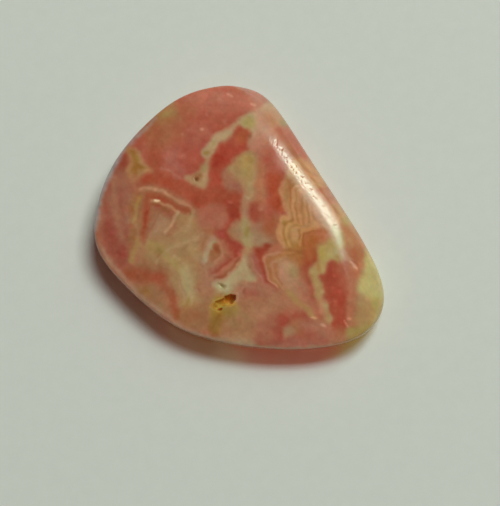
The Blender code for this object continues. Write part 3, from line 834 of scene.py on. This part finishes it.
        (182, 282), amount=0.85),
    spot("brown fleck of the course", (152, 104, 62), 158.5, 257, 2.5, 3, 30, 4, 0.7),
    patch("tan-brown lower left", (152, 106, 74), 7, (140, 262), (158, 262), (168, 270), (160, 272),
        (146, 268), (138, 268)),
    patch("red-brown arch", (150, 82, 56), 7, (124, 270), (134, 269), (146, 268), (158, 270), (164, 276),
        (168, 286), (173, 296), (177, 308), (179, 318), (172, 316), (168, 304), (163, 294), (158, 285),
        (148, 282), (134, 280), (126, 278)),
    spot("redder of the arch", (156, 78, 54), 156, 277, 8, 4, 0, 6, 0.8),
    spot("red in the arch fall", (154, 78, 52), 172, 296, 3.5, 8, 15, 6, 0.8),
    spot("brown end of the arch", (146, 82, 48), 177, 315, 3, 3.5, 0, 5, 0.7),
    patch("inside the arch", (152, 108, 76), 6, (130, 286), (142, 284), (154, 284), (162, 294), (167, 308),
        (168, 318), (154, 308), (140, 298)),
    spot("olive in the arch", (146, 104, 60), 146, 290, 4, 4, 0, 6, 0.8),
    patch("pink grey edge left", (156, 108, 90), 6, (92, 236), (99, 246), (108, 262), (120, 276), (134, 290),
        (150, 304), (168, 317), (170, 324), (150, 312), (128, 296), (110, 276), (98, 256), amount=0.8),
    spot("olive cloud low", (158, 120, 66), 186, 303, 4.5, 5, 0, 7, 0.8),
    patch("brown low", (150, 98, 66), 7, (182, 312), (192, 308), (206, 306), (210, 316), (206, 328),
        (192, 330), (182, 322)),
    patch("edge pink low", (158, 112, 92), 6, (178, 324), (200, 334), (222, 340), (246, 344), (262, 346),
        (262, 352), (230, 348), (200, 341), (176, 330), amount=0.8),
    patch("grey cream low", (160, 130, 102), 8, (222, 334), (244, 336), (262, 338), (266, 350), (240, 348),
        (218, 342), amount=0.7),
    # ring motif
    patch("tan around the ring", (162, 116, 84), 6, (200, 240), (208, 236), (218, 238), (226, 244),
        (230, 252), (226, 262), (214, 268), (204, 268), (198, 256), amount=0.7),
    patch("ring inside", (156, 96, 64), 4, (209, 251), (213, 246), (219, 245), (222, 250), (219, 257),
        (212, 263), (207, 264), (208, 257)),
    spot("ring red core", (148, 80, 52), 217.5, 249, 4, 2.6, -30, 3, 0.9),
    band("ring left arm", (166, 144, 106), 3.6, 3, (203.5, 260), (205, 254), (207.5, 248.5), (210, 244.5),
        (214, 242), (218, 241.5)),
    band("ring right arm", (176, 122, 96), 3, 3, (218, 241.5), (221, 245), (223, 249), (223, 253),
        (220.5, 257), (216, 261), amount=0.85),
    spot("ring green", (158, 144, 108), 210, 246, 2, 3, 30, 3, 0.8),
    band("ring outer", (172, 108, 84), 2.4, 3, (213, 238.6), (220, 240.5), (225, 245), (228.5, 251),
        (230, 256), amount=0.6),
    band("ring crease left", (150, 96, 62), 2, 3, (207, 238), (203, 242), (200, 248), amount=0.6),
    patch("red below the ring", (158, 84, 66), 5, (226, 254), (232, 258), (228, 264), (222, 268), (214, 273),
        (210, 274), (214, 268), (221, 262)),
    band("red stripe", (154, 74, 56), 3, 2.6, (230, 259), (224, 265), (219, 270), (212.5, 274), amount=0.9),
    band("pink stripe", (172, 100, 80), 3, 2.6, (236, 259), (231, 263), (226, 268), (221, 273), (214, 276),
        amount=0.9),
    band("brown stripe", (148, 78, 54), 2.6, 2.4, (239, 257.5), (236, 263), (231.5, 269), (226, 275),
        (221, 277.5), (215, 279), amount=0.95),
    spot("rosy spark", (178, 92, 76), 239, 253, 2.2, 3, 40, 3, 0.85),
    band("rim of the triangle", (176, 134, 106), 2.2, 2.4, (244, 257), (241, 261), (237.5, 266), (233, 271),
        (228.5, 276), (223, 280), (217, 282), (214.5, 286), amount=0.8),
    band("near left streak a", (172, 138, 104), 2.8, 3, (204, 234), (190, 241), (176, 246), (164, 252),
        (156, 262), amount=0.55),
    band("near left streak b", (152, 108, 76), 2, 3, (200, 240), (186, 247), (174, 254), (168, 264),
        amount=0.45),
    band("near left streak c", (174, 144, 108), 3, 4, (176, 256), (184, 264), (190, 276), (192, 290),
        (190, 304), amount=0.6),
    band("near left streak e", (176, 140, 110), 2.4, 3, (170, 268), (178, 278), (183, 290), (184, 304),
        amount=0.5),
    # Painted glint: a small spark of reflected light, painted as a pale dot
    spot("painted glint left", (178, 130, 104), 197, 291, 2, 1.4, 0, 2.4, 0.8),
    spot("red nick left", (150, 90, 72), 199.8, 290, 1, 2, 0, 2.4, 0.6),
    # surroundings of the vug
    patch("ochre stain", (158, 122, 66), 6, (212, 300), (222, 296), (234, 300), (240, 308), (232, 314),
        (222, 318), (212, 314)),
    patch("yellow stain", (156, 122, 52), 5, (212, 306), (220, 306), (224, 312), (222, 320), (214, 322),
        (212, 314)),
    patch("green-yellow stain", (144, 116, 62), 6, (224, 306), (236, 308), (240, 314), (232, 319),
        (224, 318), amount=0.8),
    patch("drip stain", (140, 98, 48), 5, (212, 318), (222, 316), (223, 326), (220, 334), (213, 334),
        (210, 326)),
    spot("brown of the drip", (136, 88, 44), 214, 328, 3.5, 3, 0, 4, 0.8),
    patch("brown right of the drip", (150, 106, 72), 8, (226, 318), (246, 314), (252, 326), (240, 334),
        (226, 330), amount=0.8),
    # near middle
    patch("pink near middle", (163, 110, 85), 8, (236, 284), (252, 283), (262, 284), (274, 292), (272, 298),
        (258, 298), (246, 300), (236, 300), (234, 292)),
    spot("red-pink of it", (160, 86, 70), 253, 294, 8, 4, 0, 6, 0.8),
    spot("brown smudge", (142, 82, 64), 246, 290.5, 1.6, 3, 5, 2.4, 0.85),
    band("crease over the pink", (150, 98, 78), 2, 3, (240, 284), (247, 284.5), (254, 284), amount=0.6),
    patch("tan pink middle", (164, 110, 82), 8, (252, 298), (276, 296), (292, 298), (292, 310), (272, 312),
        (252, 310)),
    patch("brown near middle", (156, 108, 76), 8, (240, 302), (254, 302), (256, 320), (250, 336), (240, 326),
        amount=0.6),
    patch("near red field", (154, 84, 64), 8, (268, 322), (280, 314), (294, 312), (302, 308), (312, 318),
        (318, 330), (330, 336), (330, 344), (304, 348), (276, 350), (258, 346), (255, 332), (258, 324)),
    spot("vivid a", (158, 74, 58), 283, 321, 6, 4, 20, 6, 0.85),
    spot("vivid b", (156, 74, 54), 298, 315, 7, 4, 10, 6, 0.7),
    spot("vivid c", (154, 72, 56), 278, 334, 3, 9, 15, 5, 0.85),
    patch("cream spot near", (160, 120, 90), 4, (284, 328), (292, 326), (298, 328), (296, 334), (290, 338),
        (286, 340), (283, 334)),
    patch("brown-orange by the spot", (160, 100, 66), 5, (292, 321), (300, 320), (302, 330), (298, 334),
        (292, 326), amount=0.7),
    patch("rosy near edge", (160, 100, 82), 8, (274, 342), (300, 340), (326, 342), (340, 344), (320, 352),
        (280, 354), (266, 352), amount=0.8),
    band("near diagonal", (166, 126, 80), 6, 4, (287, 290), (293, 297), (300, 303), (307, 309), (312, 314),
        amount=0.9),
    spot("orange bead", (196, 142, 104), 313.5, 316.8, 3, 1.5, 0, 1.6, 0.9),
    patch("pink beside the tail", (166, 106, 84), 7, (298, 284), (306, 286), (312, 300), (316, 312),
        (308, 306), (300, 298), amount=0.7),
    patch("pinkish low right", (162, 104, 82), 7, (300, 322), (314, 322), (326, 324), (334, 334), (322, 338),
        (310, 330), (300, 328), amount=0.8),
    spot("pale fleck i", (190, 140, 118), 322.5, 324.5, 3.4, 1.4, -35, 1.6, 0.9),
    patch("rosy by the tip foot", (162, 110, 84), 8, (334, 336), (348, 338), (344, 348), (326, 350),
        amount=0.6),
    # Painted reflection: a pale grey-violet line where the left rim reflects light
    band("painted reflection on the left rim", (150, 150, 154), (1, 2, 4, 6, 6, 6, 4), 6, (156, 118), (137, 136), (121, 154),
        (109, 174), (101, 193), (96.5, 212), (95, 230), amount=0.75),
    # Painted highlight: a pale line where the near rim catches light
    band("painted highlight on the near rim", (176, 152, 128), 3, 5, (104, 252), (122, 277), (148, 302), (182, 327), (212, 339),
        (246, 346), (290, 348.5), (330, 345), amount=0.5),
    # thin hazes and lines
    patch("amber flare by the seam", (178, 118, 68), 5, (304, 238), (314, 238), (315, 256), (306, 260),
        amount=0.5),
    patch("rosy haze low", (170, 120, 92), 6, (258, 312), (274, 310), (278, 322), (274, 338), (262, 340),
        (256, 326), amount=0.35),
    patch("pink grey over the knot", (164, 106, 84), 5, (230, 226), (238, 222), (242, 230), (240, 238),
        (233, 238), amount=0.5),
    patch("paler pink over the middle", (168, 116, 90), 8, (197, 218), (206, 214), (216, 222), (215, 232),
        (204, 234), amount=0.3),
    patch("paler pink by the fan", (162, 120, 96), 6, (200, 260), (216, 262), (216, 290), (202, 292),
        amount=0.35),
    patch("paler tan by the vug", (158, 122, 86), 6, (198, 294), (214, 296), (214, 304), (204, 312),
        (198, 306), amount=0.35),
    patch("paler facet by the ridge end", (184, 146, 106), 6, (345, 236), (352, 238), (356, 248), (349, 250),
        amount=0.35),
    patch("warmer straw of the knot", (168, 106, 80), 6, (236, 160), (256, 160), (258, 200), (242, 204),
        (236, 190), amount=0.22),
    patch("warmer seam", (172, 124, 92), 5, (238, 256), (250, 258), (256, 280), (236, 284), (226, 278),
        amount=0.22),
    band("warmer crescent", (172, 134, 112), 4.5, 3, (203, 262), (205, 252), (209, 243), (214, 239),
        amount=0.6),
    patch("paler strip by the red", (172, 130, 98), 3, (308, 266), (318, 268), (322, 290), (328, 318),
        (320, 318), (312, 290), amount=0.25),
    band("fan line a", (150, 104, 74), 1.4, 2, (160, 262), (170, 268), (178, 277), (183, 288), (184, 298),
        amount=0.35),
    band("fan line d", (172, 132, 106), 1.2, 2, (196, 254), (204, 264), (207, 276), (206, 288), amount=0.35),
    band("low line a", (170, 126, 98), 1.2, 2, (247, 300), (258, 297), (270, 300), (282, 307), (292, 314),
        amount=0.3),
    # pits' tones
    spot("pit brown", (112, 60, 26), 196, 178.6, 1.5, 1.4, 0, 1.8, 0.95),
    band("slit brown", (128, 98, 58), (1.4, 2.6, 2.2), 2, (219, 284), (222, 285), (225, 287)),
    patch("vug wall", (164, 124, 50), 3.4, (213, 306), (216, 300), (222, 296.5), (229, 294), (234, 297),
        (234, 302), (231, 305), (226, 307), (220, 307), (216, 309)),
    patch("vug deep", (180, 122, 46), 3.4, (223, 298), (228, 294.6), (233, 297), (234, 301), (231, 304.6),
        (227, 303), (223, 301)),
    # Painted shade: the darker spot at the vug's deep end, where its wall faces away from the light
    spot("painted shade at the vug's deep end", (140, 78, 28), 232, 299, 2, 2.6, 0, 3, 0.8),
    spot("vug orange", (152, 104, 34), 223, 302, 2.5, 1.6, 30, 2.5, 0.6),
    spot("vug brown foot", (128, 78, 22), 215.5, 306.5, 2, 1.6, 30, 2.5, 0.8),
    spot("small pit", (126, 80, 24), 220, 309.7, 2.4, 1.1, 25, 1.8, 0.85),
]


def eased(share):
    """A smooth step from 0 to 1."""
    share = np.clip(share, 0.0, 1.0)
    return share * share * (3.0 - 2.0 * share)


def course(points, closed):
    """A smooth line through the points (Catmull and Rom's)."""
    given = np.array(points, float)
    count = len(given)
    share = np.linspace(0.0, 1.0, COURSE_STEPS, endpoint=False)[:, None]
    stretches = []
    for i in range(count if closed else count - 1):
        if closed:
            before, after, beyond = given[i - 1], given[(i + 1) % count], given[(i + 2) % count]
        else:
            before, after, beyond = given[max(i - 1, 0)], given[i + 1], given[min(i + 2, count - 1)]
        here = given[i]
        square = (2.0 * before - 5.0 * here + 4.0 * after - beyond) * share**2
        cube = (3.0 * here - before - 3.0 * after + beyond) * share**3
        stretches.append(0.5 * (2.0 * here + (after - before) * share + square + cube))
    if not closed:
        stretches.append(given[-1:])
    return np.concatenate(stretches)


def line_distance(line, at, closed):
    """How far each place is from the line, and how far along the line its nearest point is, from 0 to 1."""
    starts = line if closed else line[:-1]
    ends = np.roll(line, -1, axis=0) if closed else line[1:]
    lengths = np.linalg.norm(ends - starts, axis=1)
    done = 0.0
    nearest = np.full(len(at), np.inf)
    along = np.zeros(len(at))
    for start, end, length in zip(starts, ends, lengths):
        if length < TINY:
            continue
        share = np.clip(((at - start) @ (end - start)) / length**2, 0.0, 1.0)
        square = ((at - start - share[:, None] * (end - start)) ** 2).sum(axis=1)
        near = square < nearest
        nearest[near] = square[near]
        along[near] = done + share[near] * length
        done += length
    return np.sqrt(nearest), along / lengths.sum()


def inside(line, at):
    """Whether each place lies within a closed line, so that a way out crosses it an odd number of times."""
    x, y = at.T
    odd = np.zeros(len(at), bool)
    for (x1, y1), (x2, y2) in zip(line, np.roll(line, -1, axis=0)):
        if y1 != y2:
            odd ^= ((y1 > y) != (y2 > y)) & (x < (x2 - x1) * (y - y1) / (y2 - y1) + x1)
    return odd


def spot_coverage(mark, at):
    """The places near a spot, and how strongly it covers each."""
    reach = max(mark.long, mark.across) + mark.soft
    near = np.flatnonzero((np.abs(at - (mark.x, mark.y)) < reach).all(axis=1))
    turn = math.radians(mark.heading)
    right, down = (at[near] - (mark.x, mark.y)).T
    lengthwise = right * math.cos(turn) - down * math.sin(turn)
    sideways = right * math.sin(turn) + down * math.cos(turn)
    share = np.hypot(lengthwise / mark.long, sideways / mark.across)
    edge = np.hypot(lengthwise, sideways) / np.maximum(share, TINY)
    return near, eased(0.5 + (1.0 - share) * edge / mark.soft)


def coverage(mark, at):
    """The places near a mark, and how strongly it covers each."""
    if isinstance(mark, Spot):
        return spot_coverage(mark, at)
    closed = isinstance(mark, Patch)
    line = course(mark.points, closed)
    width = 0.0 if closed else mark.width
    margin = np.max(width) / 2.0 + mark.soft
    near = np.flatnonzero(((at > line.min(axis=0) - margin) & (at < line.max(axis=0) + margin)).all(axis=1))
    if not len(near):
        return near, np.zeros(0)
    away, along = line_distance(line, at[near], closed)
    if closed:
        return near, eased(0.5 + np.where(inside(line, at[near]), away, -away) / mark.soft)
    if isinstance(width, tuple):
        width = np.interp(along, np.linspace(0.0, 1.0, len(width)), width)
    return near, eased(0.5 + (width / 2.0 - away) / mark.soft)


def painted(marks, base, at):
    """The tone of each place, with the later marks laid over the earlier ones."""
    tone = np.tile(np.array(base, float), (len(at), 1))
    for mark in marks:
        near, cover = coverage(mark, at)
        tone[near] += (np.array(mark.tone, float) - tone[near]) * (cover * mark.amount)[:, None]
    return tone


def cloudy(at, size, seed):
    """Smooth noise from -1 to 1 over the picture's plane, with lumps of about a size in pixels."""
    lattice = np.random.default_rng(seed).uniform(-1.0, 1.0, (CLOUD_CELLS, CLOUD_CELLS))
    cell = at / size
    low = np.floor(cell).astype(int)
    right, down = eased(cell - low).T
    near = low % CLOUD_CELLS
    far = (low + 1) % CLOUD_CELLS
    upper = lattice[near[:, 1], near[:, 0]] * (1.0 - right) + lattice[near[:, 1], far[:, 0]] * right
    lower = lattice[far[:, 1], near[:, 0]] * (1.0 - right) + lattice[far[:, 1], far[:, 0]] * right
    return upper * (1.0 - down) + lower * down


def wandering(at):
    """The places moved a little to and fro, so that no border between two tones runs smoothly."""
    moved = at.copy()
    for sway in SWAYS:
        for axis in range(2):
            moved[:, axis] += sway.reach * cloudy(at, sway.size, sway.seed + axis)
    return moved


def mottled(tone, at):
    """The tones with the stone's cloudy growth laid over them, coarse and fine."""
    for cloud in CLOUDS:
        tone = tone + cloudy(at, cloud.size, cloud.seed)[:, None] * np.array(cloud.shift)
    return np.clip(tone, 0.0, 255.0)


def with_painted_sheen(tone, from_core, facing):
    """The tones with a painted sheen laid over the rim, paler and greyer where the edge reflects light."""
    bearing = np.degrees(np.arctan2(from_core[:, 1], from_core[:, 0])) % 360.0
    begun = eased((SHEEN_BEGINS - facing) / SHEEN_BEGIN_FADE)
    left = eased((facing - SHEEN_ENDS) / SHEEN_END_FADE)
    stops = [sheen.bearing for sheen in PAINTED_RIM_SHEEN]
    pale = [np.interp(bearing, stops, [sheen.tone[k] for sheen in PAINTED_RIM_SHEEN], period=360.0) for k in range(3)]
    amount = begun * left * np.interp(bearing, stops, [sheen.amount for sheen in PAINTED_RIM_SHEEN], period=360.0)
    return tone + (np.stack(pale, axis=1) - tone) * amount[:, None]


def camera_axes():
    """Forward, right and up of the photograph's camera, and its place."""
    forward = Vector((0.0, math.cos(CAMERA_ELEVATION), -math.sin(CAMERA_ELEVATION)))
    up = Vector((0.0, math.sin(CAMERA_ELEVATION), math.cos(CAMERA_ELEVATION)))
    return forward, Vector((1.0, 0.0, 0.0)), up, AIM - forward * CAMERA_DISTANCE


def in_picture(points):
    """Where the points lie in the picture, in pixels from its upper left."""
    forward, right, up, place = (np.array(part) for part in camera_axes())
    away = points - place
    depth = away @ forward
    scale = CAMERA_DISTANCE / PIXEL
    across = PICTURE_WIDTH / 2 + away @ right / depth * scale
    down = PICTURE_HEIGHT / 2 - away @ up / depth * scale
    return np.stack([across, down], axis=1)


def pattern_places(co, facing):
    """Where in the picture each point of the surface takes its tone from, with a slow drift underneath."""
    drift = [np.sin(co @ way.waves + way.start) for way in (DRIFT_RIGHT, DRIFT_DOWN)]
    return in_picture(co) + np.stack(drift, axis=1) * np.clip(-facing, 0.0, 1.0)[:, None] * HIDDEN_DRIFT


def linear(tone):
    """Linear light from 0 to 1 for an 8-bit tone, by the sRGB standard's curve."""
    tone = tone / 255.0
    return np.where(tone <= 0.04045, tone / 12.92, ((tone + 0.055) / 1.055) ** 2.4)


def pit_depths(x, y):
    """How deep the pits go at each place, and how far off the nearest is, as a share of its own reach.

    Each pit is half an ellipsoid with a slightly ragged rim.
    """
    deepest = np.zeros(len(x))
    nearest = np.full(len(x), np.inf)
    for pit in PITS.values():
        turn = math.radians(pit.heading)
        lengthwise = ((x - pit.x) * math.cos(turn) + (y - pit.y) * math.sin(turn)) / (pit.length / 2.0)
        sideways = ((y - pit.y) * math.cos(turn) - (x - pit.x) * math.sin(turn)) / (pit.width / 2.0)
        bearing = np.arctan2(sideways, lengthwise)
        ragged = np.ones(len(x))
        for wave in PIT_RIM_WAVES:
            ragged += wave.share * np.sin(wave.times * bearing + wave.start)
        share = np.hypot(lengthwise, sideways) / ragged
        deepest = np.maximum(deepest, pit.depth * np.sqrt(np.maximum(0.0, 1.0 - share**2)))
        nearest = np.minimum(nearest, share)
    return deepest, nearest


def ridge_chips(place):
    """How far each place is chipped off, from 0 to 1: only in specks along the worn ridge."""
    specks = eased((cloudy(place, CHIP_SIZE, CHIP_SEED) - CHIP_LEVEL) / CHIP_EDGE)
    off_ridge = line_distance(course(WORN_RIDGE, False), place, False)[0]
    return specks * eased(WORN_END - off_ridge / WORN_WIDTH)


def refined(bm, centre, reach):
    """Splits the triangles near a place on the top into four."""
    centre = Vector(centre)
    verts = {vert for vert in bm.verts if vert.co.z > CORE_HEIGHT and (vert.co.xy - centre).length < reach}
    near = [edge for edge in bm.edges if verts.issuperset(edge.verts)]
    bmesh.ops.subdivide_edges(bm, edges=near, cuts=1, use_grid_fill=True)
    bmesh.ops.triangulate(bm, faces=[face for face in bm.faces if len(face.verts) > 3])


def stone_mesh(points, faces):
    """The body's mesh, with smaller triangles round the vug."""
    bm = bmesh.new()
    verts = [bm.verts.new(point) for point in points]
    for face in faces:
        bm.faces.new([verts[k] for k in face])
    bm.normal_update()
    for reach in VUG_FINE_REACHES:
        refined(bm, VUG_CENTRE, reach)
    mesh = bpy.data.meshes.new("slice_body")
    bm.to_mesh(mesh)
    bm.free()
    return mesh


def vertex_rows(mesh, name):
    """A vector of every vertex, such as its place or its normal, as the rows of an array."""
    values = np.zeros(len(mesh.vertices) * 3)
    mesh.vertices.foreach_get(name, values)
    return values.reshape(-1, 3)


def add_layer(mesh, name, kind, field, values):
    """A named value on every vertex, for the material to read."""
    layer = mesh.attributes.new(name, kind, "POINT")
    layer.data.foreach_set(field, values.ravel())


def banding_and_painted_light(co, facing, place, middle):
    """The colour of every point with the painted glints and rim sheen: its tone in linear light, over the
    light on the top.
    """
    tone = mottled(painted(MARKS, BASE_TONE, wandering(place)), place)
    # Painted sheen: a paler, greyer tone laid along the rim where it reflects light
    tone = with_painted_sheen(tone, co + middle, facing)
    return np.concatenate([linear(tone) / LIGHT_ON_TOP, np.ones((len(co), 1))], axis=1)


def build_stone():
    """The stone as one object, with its colours and the pits' lining on its points, and the pits sunk in."""
    points, faces, middle = stone_surface()
    mesh = stone_mesh(points, faces)
    co = vertex_rows(mesh, "co")
    facing = vertex_rows(mesh, "normal")[:, 2]
    place = pattern_places(co, facing)
    # The banding attribute carries the painted glints and rim sheen along with the stone's own tones
    add_layer(mesh, "banding", "FLOAT_COLOR", "color", banding_and_painted_light(co, facing, place, middle))
    depth, off_pit = pit_depths(co[:, 0], co[:, 1])
    on_top = co[:, 2] > CORE_HEIGHT
    lining = np.clip((LINING_END - off_pit) / LINING_FADE, 0.0, 1.0)
    add_layer(mesh, "hollow", "FLOAT", "value", lining * on_top)
    co[:, 2] -= depth * on_top + CHIP_DEPTH * ridge_chips(place)
    mesh.vertices.foreach_set("co", co.ravel())
    mesh.shade_smooth()
    mesh.update()
    stone = bpy.data.objects.new("banded_slice", mesh)
    bpy.context.scene.collection.objects.link(stone)
    return stone


def node(tree, kind, inputs=(), **settings):
    """A shader node, with each named input linked where it is given a socket, and set otherwise."""
    made = tree.nodes.new(kind)
    for key, value in settings.items():
        setattr(made, key, value)
    for key, value in dict(inputs).items():
        if isinstance(value, bpy.types.NodeSocket):
            tree.links.new(value, made.inputs[key])
        else:
            made.inputs[key].default_value = value
    return made


def noise(tree, where, kind):
    """Smooth noise from 0 to 1."""
    inputs = {"Vector": where, "Scale": kind.scale, "Detail": kind.detail, "Roughness": kind.roughness}
    return node(tree, "ShaderNodeTexNoise", inputs).outputs["Fac"]


def mapped(tree, value, source, target):
    """The value taken from one range to another, and held within it."""
    ends = {"From Min": source[0], "From Max": source[1], "To Min": target[0], "To Max": target[1]}
    return node(tree, "ShaderNodeMapRange", {"Value": value, **ends}, clamp=True).outputs["Result"]


def summed(tree, first, second, use_clamp=False):
    made = node(tree, "ShaderNodeMath", {0: first, 1: second}, operation="ADD", use_clamp=use_clamp)
    return made.outputs["Value"]


def bumped(tree, height, strength, distance):
    inputs = {"Height": height, "Strength": strength, "Distance": distance}
    return node(tree, "ShaderNodeBump", inputs).outputs["Normal"]


def dress(tree, shader, links, values):
    """Links sockets to the shader's inputs and sets its other inputs."""
    for name, socket in links.items():
        tree.links.new(socket, shader.inputs[name])
    for name, value in values.items():
        shader.inputs[name].default_value = value


def shine_through(tree, where, banding):
    """A clear shader that tints the stone's shadow by its banding, and is clearer on the right."""
    inner = {MIX_SHARE: GLOW_INSIDE_SHARE, MIX_FIRST: banding, MIX_SECOND: GLOW_INSIDE}
    within = node(tree, "ShaderNodeMix", inner, data_type="RGBA").outputs[MIX_RESULT]
    gain = {MIX_SHARE: 1.0, MIX_FIRST: within, MIX_SECOND: GLOW_GAIN}
    through = node(tree, "ShaderNodeMix", gain, data_type="RGBA", blend_type="MULTIPLY").outputs[MIX_RESULT]
    across = node(tree, "ShaderNodeSeparateXYZ", {"Vector": where}).outputs["X"]
    strength = mapped(tree, across, GLOW_PLACES, GLOW_STRENGTHS)
    glow = node(tree, "ShaderNodeVectorMath", {0: through, 1: strength}, operation="MULTIPLY")
    return node(tree, "ShaderNodeBsdfTransparent", {"Color": glow.outputs["Vector"]}).outputs["BSDF"]


def stone_material():
    material = bpy.data.materials.new("rhodochrosite")
    material.use_nodes = True
    tree = material.node_tree
    shader = tree.nodes["Principled BSDF"]
    where = node(tree, "ShaderNodeTexCoord").outputs["Object"]
    banding = node(tree, "ShaderNodeAttribute", attribute_name="banding").outputs["Color"]
    hollow = node(tree, "ShaderNodeAttribute", attribute_name="hollow").outputs["Fac"]
    growth = mapped(tree, noise(tree, where, GROWTH), GROWTH_RANGE, GROWTH_BRIGHTNESS)
    tinted = node(tree, "ShaderNodeHueSaturation", {"Color": banding, "Value": growth}).outputs["Color"]
    grain = noise(tree, where, GRAIN)
    rough = mapped(tree, grain, GRAIN_RANGE, GRAIN_ROUGHNESS)
    cells = node(tree, "ShaderNodeTexVoronoi", {"Vector": where, "Scale": NICK_SCALE}).outputs["Distance"]
    nicked = summed(tree, rough, mapped(tree, cells, NICK_RANGE, NICK_ROUGHNESS))
    links = {
        "Base Color": tinted,
        "Roughness": summed(tree, nicked, hollow, use_clamp=True),
        "Normal": bumped(tree, grain, GRAIN_BUMP, GRAIN_HEIGHT),
    }
    dress(tree, shader, links, STONE_OPTICS)
    shader.subsurface_method = "RANDOM_WALK"
    towards_light = node(tree, "ShaderNodeLightPath").outputs["Is Shadow Ray"]
    sides = {0: towards_light, 1: shader.outputs["BSDF"], 2: shine_through(tree, where, banding)}
    mixed = node(tree, "ShaderNodeMixShader", sides).outputs["Shader"]
    tree.links.new(mixed, tree.nodes["Material Output"].inputs["Surface"])
    return material


def paper_material():
    material = bpy.data.materials.new("pale paper")
    material.use_nodes = True
    tree = material.node_tree
    where = node(tree, "ShaderNodeTexCoord").outputs["Object"]
    fibre = noise(tree, where, FIBRE)
    ramp = node(tree, "ShaderNodeValToRGB", {"Fac": fibre})
    for element, position, brightness in zip(ramp.color_ramp.elements, FIBRE_RANGE, FIBRE_BRIGHTNESS):
        element.position = position
        element.color = (*(PAPER_COLOUR * brightness), 1.0)
    links = {"Base Color": ramp.outputs["Color"], "Normal": bumped(tree, fibre, FIBRE_BUMP, FIBRE_HEIGHT)}
    dress(tree, tree.nodes["Principled BSDF"], links, PAPER_OPTICS)
    return material


def paper_floor():
    bm = bmesh.new()
    bmesh.ops.create_grid(bm, x_segments=FLOOR_CELLS, y_segments=FLOOR_CELLS, size=FLOOR_HALF)
    mesh = bpy.data.meshes.new("paper")
    bm.to_mesh(mesh)
    bm.free()
    floor = bpy.data.objects.new("paper", mesh)
    bpy.context.scene.collection.objects.link(floor)
    floor.data.materials.append(paper_material())
    return floor


def facing_size(angle):
    """How wide a light at the lights' distance is that the stone sees under an angle in degrees."""
    return 2.0 * LIGHT_DISTANCE * math.tan(math.radians(angle) / 2.0)


def lamp_light(lamp):
    """A rectangular light that faces the stone."""
    beam = Vector(lamp.direction).normalized()
    ridge = Vector((math.cos(RIDGE_BEARING), math.sin(RIDGE_BEARING), 0.0))
    ridge = (ridge - beam * ridge.dot(beam)).normalized()
    across = beam.cross(ridge) * math.tan(math.radians(lamp.across))
    away = (beam + across + ridge * math.tan(math.radians(lamp.along))).normalized()
    ridge = (ridge - away * ridge.dot(away)).normalized()
    ridge.rotate(Matrix.Rotation(math.radians(lamp.twist), 3, away))
    data = bpy.data.lights.new(lamp.name, "AREA")
    data.shape = "RECTANGLE"
    data.size = facing_size(lamp.width)
    data.size_y = facing_size(lamp.height)
    data.energy = lamp.power
    data.color = lamp.colour
    light = bpy.data.objects.new(lamp.name, data)
    light.location = away * LIGHT_DISTANCE
    light.rotation_euler = Matrix((ridge.cross(away), ridge, away)).transposed().to_euler()
    light.visible_glossy = lamp.mirrored
    bpy.context.scene.collection.objects.link(light)


def surroundings():
    world = bpy.data.worlds.new("room")
    world.use_nodes = True
    back = world.node_tree.nodes["Background"]
    back.inputs["Color"].default_value = ROOM_COLOUR
    back.inputs["Strength"].default_value = ROOM_STRENGTH
    bpy.context.scene.world = world


def photograph_camera():
    """The camera at the photograph's viewing angle, which frames the stone as the picture does."""
    forward, _, _, place = camera_axes()
    data = bpy.data.cameras.new("camera")
    data.sensor_width = SENSOR_MM
    data.lens = SENSOR_MM * CAMERA_DISTANCE / (PICTURE_HEIGHT * PIXEL)
    data.clip_start = CLIP_START
    data.clip_end = CLIP_END
    camera = bpy.data.objects.new("camera", data)
    camera.location = place
    camera.rotation_euler = forward.to_track_quat("-Z", "Y").to_euler()
    bpy.context.scene.collection.objects.link(camera)
    bpy.context.scene.camera = camera


stone = build_stone()
stone.data.materials.append(stone_material())
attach(stone, "root")
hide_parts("stone")
paper_floor()
for lamp in LAMPS:
    lamp_light(lamp)
surroundings()
photograph_camera()
bpy.context.scene.view_settings.view_transform = "Standard"
